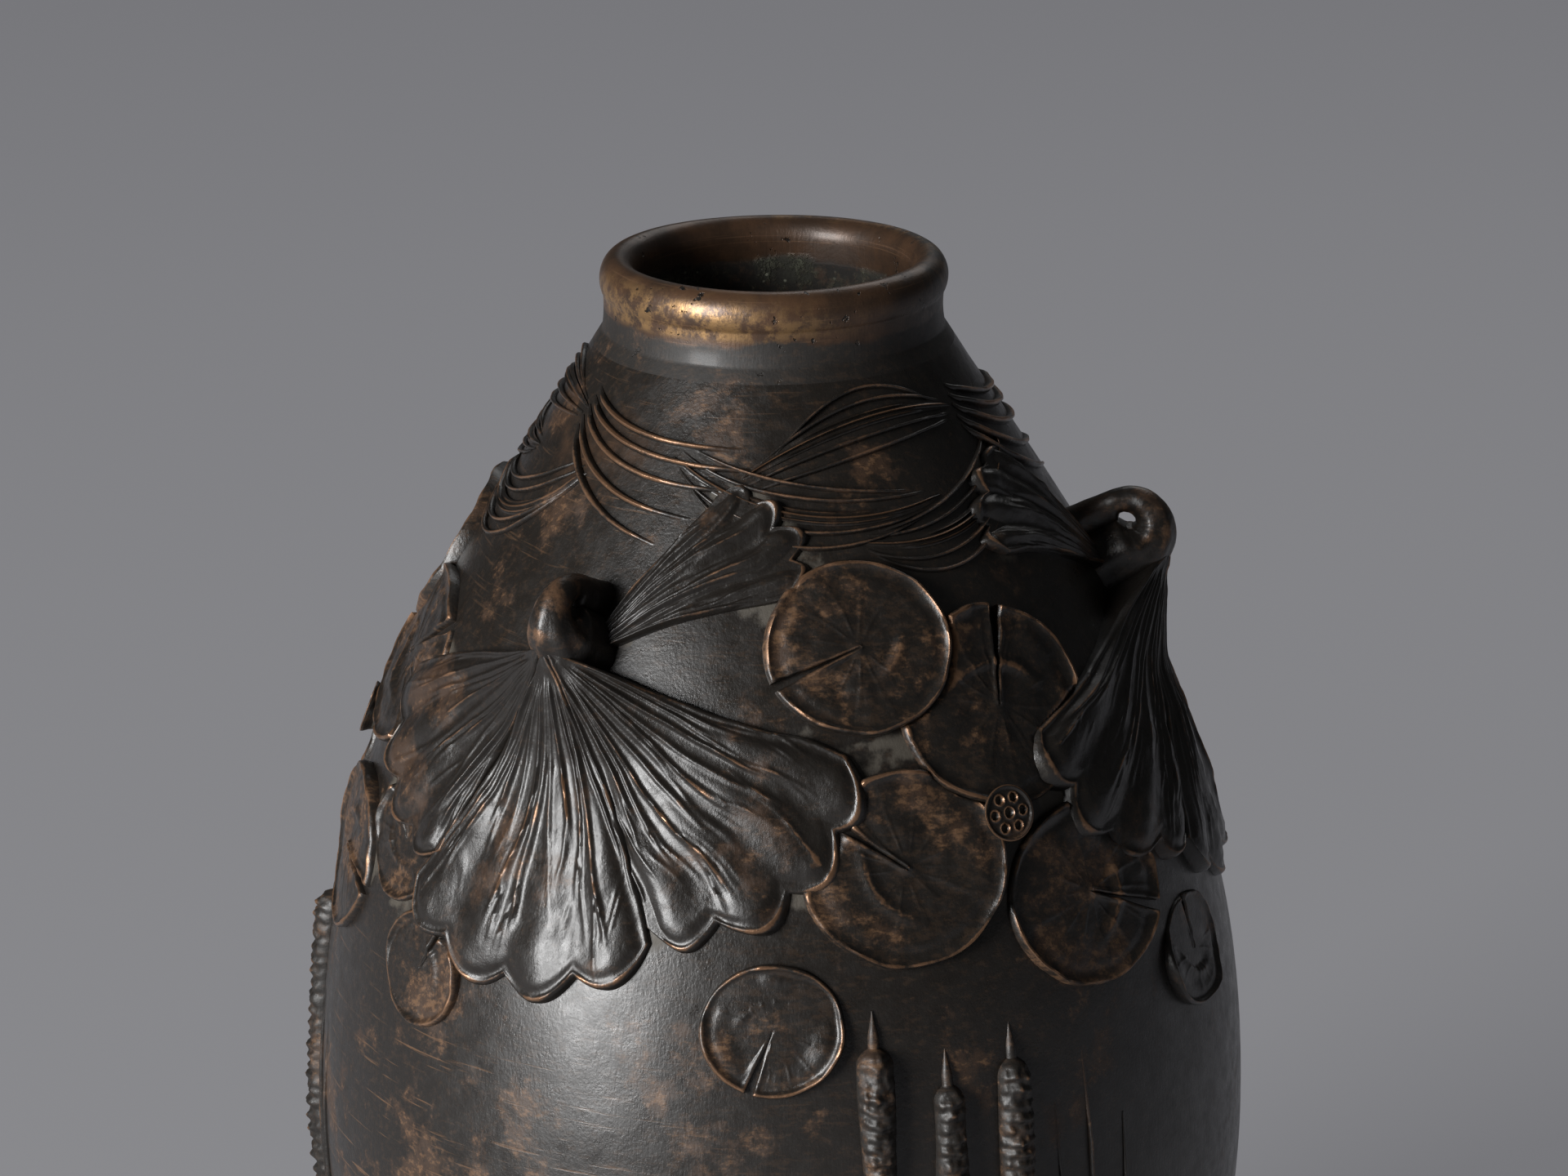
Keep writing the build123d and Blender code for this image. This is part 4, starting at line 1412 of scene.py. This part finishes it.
def along_route(route, share):
    """Places and directions at shares of a smooth route through the given points."""
    fine = np.linspace(0, 1, 600)
    curve = smooth_line(route, fine)
    slope = np.gradient(curve, axis=0)
    slope /= np.linalg.norm(slope, axis=1)[:, None]
    places = np.stack([np.interp(share, fine, curve[:, k]) for k in (0, 1)], 1)
    ways = np.stack([np.interp(share, fine, slope[:, k]) for k in (0, 1)], 1)
    return places, ways / np.linalg.norm(ways, axis=1)[:, None]


class VASE_OT_loops(bpy.types.Operator):
    """Models the looped stalks at the knots"""

    bl_idname = "vase.loops"
    bl_label = "Stalk loops"

    def execute(self, context):
        sizes, plants, colours = settings()
        wall = Wall(sizes)
        lead, bend = plants.stalk_lead / MM, plants.stalk_bend / MM
        straight, thin = plants.stalk_straight / MM, plants.stalk_radius / MM
        knot = plants.knot_radius / MM
        far = lead + 2 * bend
        crown = straight + bend - 1.0
        route = np.array([
            (1.5, -4.0), (2.0, 4.0), (2.5, 9.0), (3.2, crown - 4.1), (4.8, crown - 1.6),
            (7.4, crown - 0.1), (10.4, crown), (13.2, crown - 1.6), (far - 0.5, crown - 4.8),
            (far, 7.0), (far, 2.0), (far - 0.2, -4.0),
        ])
        girths = np.array([
            knot + 1.0, knot + 0.6, knot + 0.3, knot - 0.6, 5.6, 4.5, 3.9, thin + 0.6, thin + 0.1,
            thin + 0.1, thin + 0.6, thin + 1.4,
        ])
        joined, web_top = far - thin - 1.6, straight - 3.4
        finish = bronze("Stalk bronze", colours, thinning=0.06, speckle=0.05, wear=1.0, residue=0.3)
        for letter, turn in KNOT_TURNS.items():
            seat = Seat(wall, turn, KNOT_SHARE)
            obj = tube(f"vase_loop_{letter}", LOOP_SIDES, LOOP_CUTS)
            points = read_points(obj)
            share = points[:, 2]
            centre, along = along_route(route, share)
            angle = np.arctan2(points[:, 1], points[:, 0])
            spoke = np.hypot(points[:, 0], points[:, 1])
            seed = 7 + place_of(letter)
            near = flat_points(3 * np.cos(angle), 3 * np.sin(angle), share * 50)
            girth = np.interp(share, np.linspace(0, 1, len(girths)), girths)
            folds = 0.26 * np.cos(7 * angle + 4 * share) * (1 - step_up(share, 0.25, 0.6))
            girth = girth + folds + 0.20 * lumps(near, 3.6, seed) + 0.05 * lumps(near, 1.1, seed)
            x = girth * spoke * np.cos(angle)
            over = girth * spoke * np.sin(angle)
            y = centre[:, 0] - over * along[:, 1]
            n = centre[:, 1] + over * along[:, 0]
            inner = (over < 0) * (1 - step_up(n, web_top - 1.0, web_top + 0.8))
            toward = np.abs(joined - centre[:, 0]) + 0.7
            stretch = np.maximum(toward / np.maximum(girth, 0.5), 1.0)
            y = centre[:, 0] + (y - centre[:, 0]) * (1 + inner * (stretch - 1))
            write_points(obj, seat.place(x, y, n))
            high = np.clip(0.40 + 0.34 * lumps(near, 3.0, seed + 1) + 0.5 * folds, 0, 0.8) * (1 - inner)
            write_marks(
                obj, rub=high * step_up(share, 0.12, 0.3) * (1 - 0.8 * step_up(share, 0.75, 0.9)),
                hollow=np.maximum(-folds, 0) + step_up(-share, -0.12, 0) + step_up(share, 0.88, 1),
            )
            close_mesh(obj)
            finish_piece(obj, finish, "stalk_bronze", f"stalk_loop_{letter}")
        return {"FINISHED"}


class VASE_OT_fans(bpy.types.Operator):
    """Models the fan leaves draped round each knot"""

    bl_idname = "vase.fans"
    bl_label = "Fan leaves"

    def execute(self, context):
        sizes, plants, colours = settings()
        wall = Wall(sizes)
        finish = bronze("Leaf bronze", colours, thinning=0.02, speckle=0.02, wear=0.80, residue=0.45)
        for letter, turn in KNOT_TURNS.items():
            seat = Seat(wall, turn, KNOT_SHARE)
            for number, (direction, half_angle, reach, proud) in enumerate(FANS, 1):
                form = fan_form(
                    seat, fan_aim(letter, direction), half_angle, reach * plants.fan_reach / MM,
                    proud, plants, direction < 0, 5 * number + place_of(letter),
                )
                obj = cast_piece(f"vase_fan_{letter}{number}", FAN_GRID, form)
                finish_piece(obj, finish, "leaf_bronze", f"fan_leaf_{letter}{number}")
        return {"FINISHED"}


class VASE_OT_pads(bpy.types.Operator):
    """Models the round floating leaves in the gaps"""

    bl_idname = "vase.pads"
    bl_label = "Round leaves"

    def execute(self, context):
        sizes, plants, colours = settings()
        wall = Wall(sizes)
        finish = bronze(
            "Round leaf bronze", colours, thinning=0.06, speckle=0.10, wear=0.85, residue=0.3
        )
        for letter, pads in PADS.items():
            higher = []
            for number, (turn, share, size, slit) in enumerate(pads, 1):
                seat = Seat(wall, gap_middle(letter) + turn, share)
                radius = size * plants.pad_radius / MM
                form = pad_form(
                    seat, radius, slit, PAD_PROUD[number - 1], plants, tuple(higher),
                    7 * number + place_of(letter),
                )
                obj = cast_piece(f"vase_pad_{letter}{number}", PAD_GRID, form, reach=3)
                higher.append((seat, radius))
                finish_piece(obj, finish, "round_leaf_bronze", f"round_leaf_{letter}{number}")
        return {"FINISHED"}


class VASE_OT_pods(bpy.types.Operator):
    """Models the seed heads"""

    bl_idname = "vase.pods"
    bl_label = "Seed heads"

    def execute(self, context):
        sizes, plants, colours = settings()
        wall = Wall(sizes)
        finish = bronze("Seed bronze", colours, thinning=0.05, speckle=0.04, wear=1.1, residue=0.9)
        rim, tall = plants.pod_radius / MM, plants.pod_height / MM
        line = np.array([
            (0.0, -1.2), (0.7 * rim, -1.2), (0.72 * rim, 0.4), (0.84 * rim, 0.55 * tall),
            (0.98 * rim, 0.86 * tall), (rim, tall), (0.93 * rim, tall + 0.15), (0.84 * rim, tall - 0.35),
            (0.5 * rim, tall - 0.15), (0.0, tall),
        ])
        for letter, (turn, share) in PODS.items():
            seat = Seat(wall, gap_middle(letter) + turn, share)
            only()
            bpy.ops.mesh.primitive_uv_sphere_add(segments=96, ring_count=64, radius=1.0)
            obj = context.object
            obj.name = obj.data.name = f"vase_pod_{letter}"
            points = read_points(obj)
            down = np.arccos(np.clip(-points[:, 2], -1, 1)) / np.pi
            angle = np.arctan2(points[:, 1], points[:, 0])
            stops = np.linspace(0, 1, len(line))
            reach = np.interp(down, stops, line[:, 0])
            lift = np.interp(down, stops, line[:, 1])
            x, y = reach * np.cos(angle), reach * np.sin(angle)
            pits = np.zeros(len(x))
            beads = np.zeros(len(x))
            for ring, count in ((0.58, POD_SEEDS), (0.0, 1)):
                for k in range(count):
                    way = 2 * math.pi * k / count
                    gap = np.hypot(x - ring * rim * math.cos(way), y - ring * rim * math.sin(way))
                    pits = np.maximum(pits, step_up(-gap, -1.05, -0.75))
                    beads = np.maximum(beads, bump(gap, 1.2, 0.28))
            on_top = step_up(down, 0.72, 0.78)
            seed = ord(letter)
            near = flat_points(x, y, lift)
            lift = lift + on_top * (0.3 * beads - 0.95 * pits) + 0.12 * lumps(near, 2.5, seed)
            n, _ = seat.depth(x, y)
            write_points(obj, seat.place(x, y, lift + n * step_up(-lift, -0.5, 0.5)))
            write_marks(
                obj, rub=on_top * beads + bump(down, 0.58, 0.05), hollow=pits * on_top + (down < 0.3)
            )
            close_mesh(obj)
            finish_piece(obj, finish, "seed_bronze", f"seed_head_{letter}")
        return {"FINISHED"}


class VASE_OT_reeds(bpy.types.Operator):
    """Models the reed blades on the shoulder"""

    bl_idname = "vase.reeds"
    bl_label = "Reed blades"

    def execute(self, context):
        sizes, plants, colours = settings()
        wall = Wall(sizes)
        for letter, reeds in REEDS.items():
            for number, places in enumerate(reeds, 1):
                form = reed_form(
                    wall, gap_middle(letter), places, plants.reed_half_width / MM,
                    3 * number + place_of(letter),
                )
                obj = cast_piece(
                    f"vase_reed_{letter}{number}", REED_GRID, form, sink=0.8, contrast=0.55, rim=0.0
                )
                finish_piece(obj, reed_bronze(colours), "reed_bronze", f"reed_blade_{letter}{number}")
        return {"FINISHED"}


def stem_lines(wall, letter):
    """Turn and height at three places of each bare stem in a gap, with its width as a share."""
    middle = gap_middle(letter)
    lines = []
    for reed in REEDS[letter]:
        waist = reed[1][0]
        for swell, taper, shorten in STEM_SHIFTS:
            lines.append((1.0, [
                (middle + waist + shorten * (turn - waist), wall.level(share + shift))
                for (turn, share), shift in zip(reed, (taper, swell, taper))
            ]))
    for turn, low, high in STALKS[letter]:
        bow = 0.6 * math.sin(turn)
        lines.append((1.0, [
            (middle + turn - bow, wall.level(low)),
            (middle + turn + bow, wall.level(0.5 * (low + high))),
            (middle + turn - bow, wall.level(high)),
        ]))
    for sweep in SWEEPS:
        places = [(KNOT_TURNS[letter] + turn, wall.level(share)) for turn, share in sweep]
        lines.append((SWEEP_WIDTH, places))
    return lines


class VASE_OT_stems(bpy.types.Operator):
    """Models the thin stems beside the reed blades and the spikes"""

    bl_idname = "vase.stems"
    bl_label = "Stems"

    def execute(self, context):
        sizes, plants, colours = settings()
        wall = Wall(sizes)
        for letter in REEDS:
            for number, (wide, places) in enumerate(stem_lines(wall, letter), 1):
                form = stem_form(wall, places, wide * plants.stem_half_width / MM, number)
                obj = cast_piece(
                    f"vase_stem_{letter}{number}", STEM_GRID, form,
                    sink=0.6, contrast=0.6, reach=2, rim=0.0,
                )
                finish_piece(obj, reed_bronze(colours), "reed_bronze")
        return {"FINISHED"}


class VASE_OT_maces(bpy.types.Operator):
    """Models the reed-mace spikes and their stems"""

    bl_idname = "vase.maces"
    bl_label = "Reed mace"

    def execute(self, context):
        sizes, plants, colours = settings()
        wall = Wall(sizes)
        finish = bronze(
            "Mace bronze", colours, thinning=0.06, speckle=0.08, wear=0.80, residue=0.6,
            roughness=0.50, coat=0.03,
        )
        for letter, maces in MACES.items():
            for number, (turn, low, high) in enumerate(maces, 1):
                form = mace_form(
                    wall, gap_middle(letter) + turn, wall.level(low), wall.level(high), plants,
                    4 * number + place_of(letter),
                )
                obj = cast_piece(
                    f"vase_mace_{letter}{number}", MACE_GRID, form, sink=0.9, contrast=0.9, reach=3
                )
                finish_piece(obj, finish, "mace_bronze", f"reed_mace_{letter}{number}")
        return {"FINISHED"}


def floor_finish(colours):
    """Matt ground that shows the backdrop's even tone to the camera and to reflections."""
    material, tree, place, shader = start_material("Pale floor")
    grain = window(tree, noise(tree, place, 3.0, 2.0, 0.5), 0.2, 0.8)
    darker = full([0.97 * value for value in colours.floor])
    tree.links.new(blend(tree, grain, full(colours.floor), darker), shader.inputs["Base Color"])
    rays = tree.nodes.new("ShaderNodeLightPath").outputs
    seen = maths(tree, "MAXIMUM", rays["Is Camera Ray"], rays["Is Glossy Ray"])
    seen = maths(tree, "MAXIMUM", seen, rays["Is Transmission Ray"])
    glow = blend(tree, seen, full((0.0, 0.0, 0.0)), full(colours.backdrop))
    tree.links.new(glow, shader.inputs["Emission Color"])
    shader.inputs["Emission Strength"].default_value = 1.0
    shader.inputs["Roughness"].default_value = 0.9
    shader.inputs["Specular IOR Level"].default_value = 0.2
    return material


def place_in_scene(name, data):
    """New object for a lamp or a camera."""
    holder = bpy.data.objects.new(name, data)
    bpy.context.scene.collection.objects.link(holder)
    return holder


def hang_lamp(name, power, turn, rise, distance, size):
    """Softbox that points at the vase."""
    lamp = bpy.data.lights.new(name, "AREA")
    lamp.shape = "RECTANGLE"
    lamp.size, lamp.size_y = size
    lamp.energy = power
    holder = place_in_scene(name, lamp)
    turn, rise = math.radians(turn), math.radians(rise)
    level = math.cos(rise)
    ahead = Vector((level * math.sin(turn), -level * math.cos(turn), math.sin(rise)))
    holder.location = Vector((0.0, 0.0, LIT_HEIGHT)) + distance * ahead
    holder.rotation_euler = (-ahead).to_track_quat("-Z", "Y").to_euler()


def set_camera(lens):
    """Camera at the photograph's viewpoint."""
    camera = bpy.data.cameras.new("Studio camera")
    camera.sensor_width = SENSOR_WIDTH
    camera.lens = lens
    holder = place_in_scene("Studio camera", camera)
    tilt = Matrix.Rotation(math.radians(CAMERA_TILT), 4, "X")
    roll = Matrix.Rotation(math.radians(CAMERA_ROLL), 4, "Z")
    holder.matrix_world = Matrix.Translation(CAMERA_PLACE) @ tilt @ roll
    bpy.context.scene.camera = holder


class VASE_OT_stage(bpy.types.Operator):
    """Sets the floor, the lights, the world and the camera"""

    bl_idname = "vase.stage"
    bl_label = "Stage"

    def execute(self, context):
        scene = context.scene
        light = scene.vase_light
        only()
        bpy.ops.mesh.primitive_plane_add(size=FLOOR_SIZE, location=(0.0, FLOOR_BACK, 0.0))
        floor = context.object
        floor.name = "stage_floor"
        floor.data.materials.append(floor_finish(scene.vase_colours))
        for name, power, *aim in LAMPS:
            hang_lamp(name, getattr(light, power), *aim)
        world = bpy.data.worlds.new("Even studio")
        world.use_nodes = True
        world.node_tree.nodes["Background"].inputs["Color"].default_value = full((1.0, 1.0, 1.0))
        world.node_tree.nodes["Background"].inputs["Strength"].default_value = light.world_strength
        scene.world = world
        set_camera(light.lens)
        scene.view_settings.view_transform = "Standard"
        return {"FINISHED"}


class VASE_PT_panel(bpy.types.Panel):
    """Lists the vase's operators and sizes"""

    bl_idname = "VASE_PT_panel"
    bl_label = "Bronze Vase"
    bl_space_type = "VIEW_3D"
    bl_region_type = "UI"
    bl_category = "Bronze Vase"

    def draw(self, context):
        for operator in OPERATORS:
            self.layout.operator(operator.bl_idname)
        for group in (getattr(context.scene, name) for name in SETTINGS):
            for name in group.__annotations__:
                self.layout.prop(group, name)


SETTINGS = {
    "vase_vessel": VesselSizes, "vase_plants": PlantSizes, "vase_colours": PatinaColours,
    "vase_light": StudioLight,
}
OPERATORS = (
    VASE_OT_wall, VASE_OT_lip, VASE_OT_foot, VASE_OT_loops, VASE_OT_fans, VASE_OT_pads,
    VASE_OT_pods, VASE_OT_reeds, VASE_OT_stems, VASE_OT_maces, VASE_OT_stage,
)


def register():
    """Registers the settings, operators and panel."""
    for kind in (*SETTINGS.values(), *OPERATORS, VASE_PT_panel):
        bpy.utils.register_class(kind)
    for name, kind in SETTINGS.items():
        setattr(bpy.types.Scene, name, bpy.props.PointerProperty(type=kind))


def unregister():
    """Removes what register added."""
    for name in SETTINGS:
        delattr(bpy.types.Scene, name)
    for kind in reversed((*SETTINGS.values(), *OPERATORS, VASE_PT_panel)):
        bpy.utils.unregister_class(kind)


def main():
    register()
    for operator in OPERATORS:
        family, name = operator.bl_idname.split(".")
        getattr(getattr(bpy.ops, family), name)()
    only()


if __name__ == "__main__":
    main()
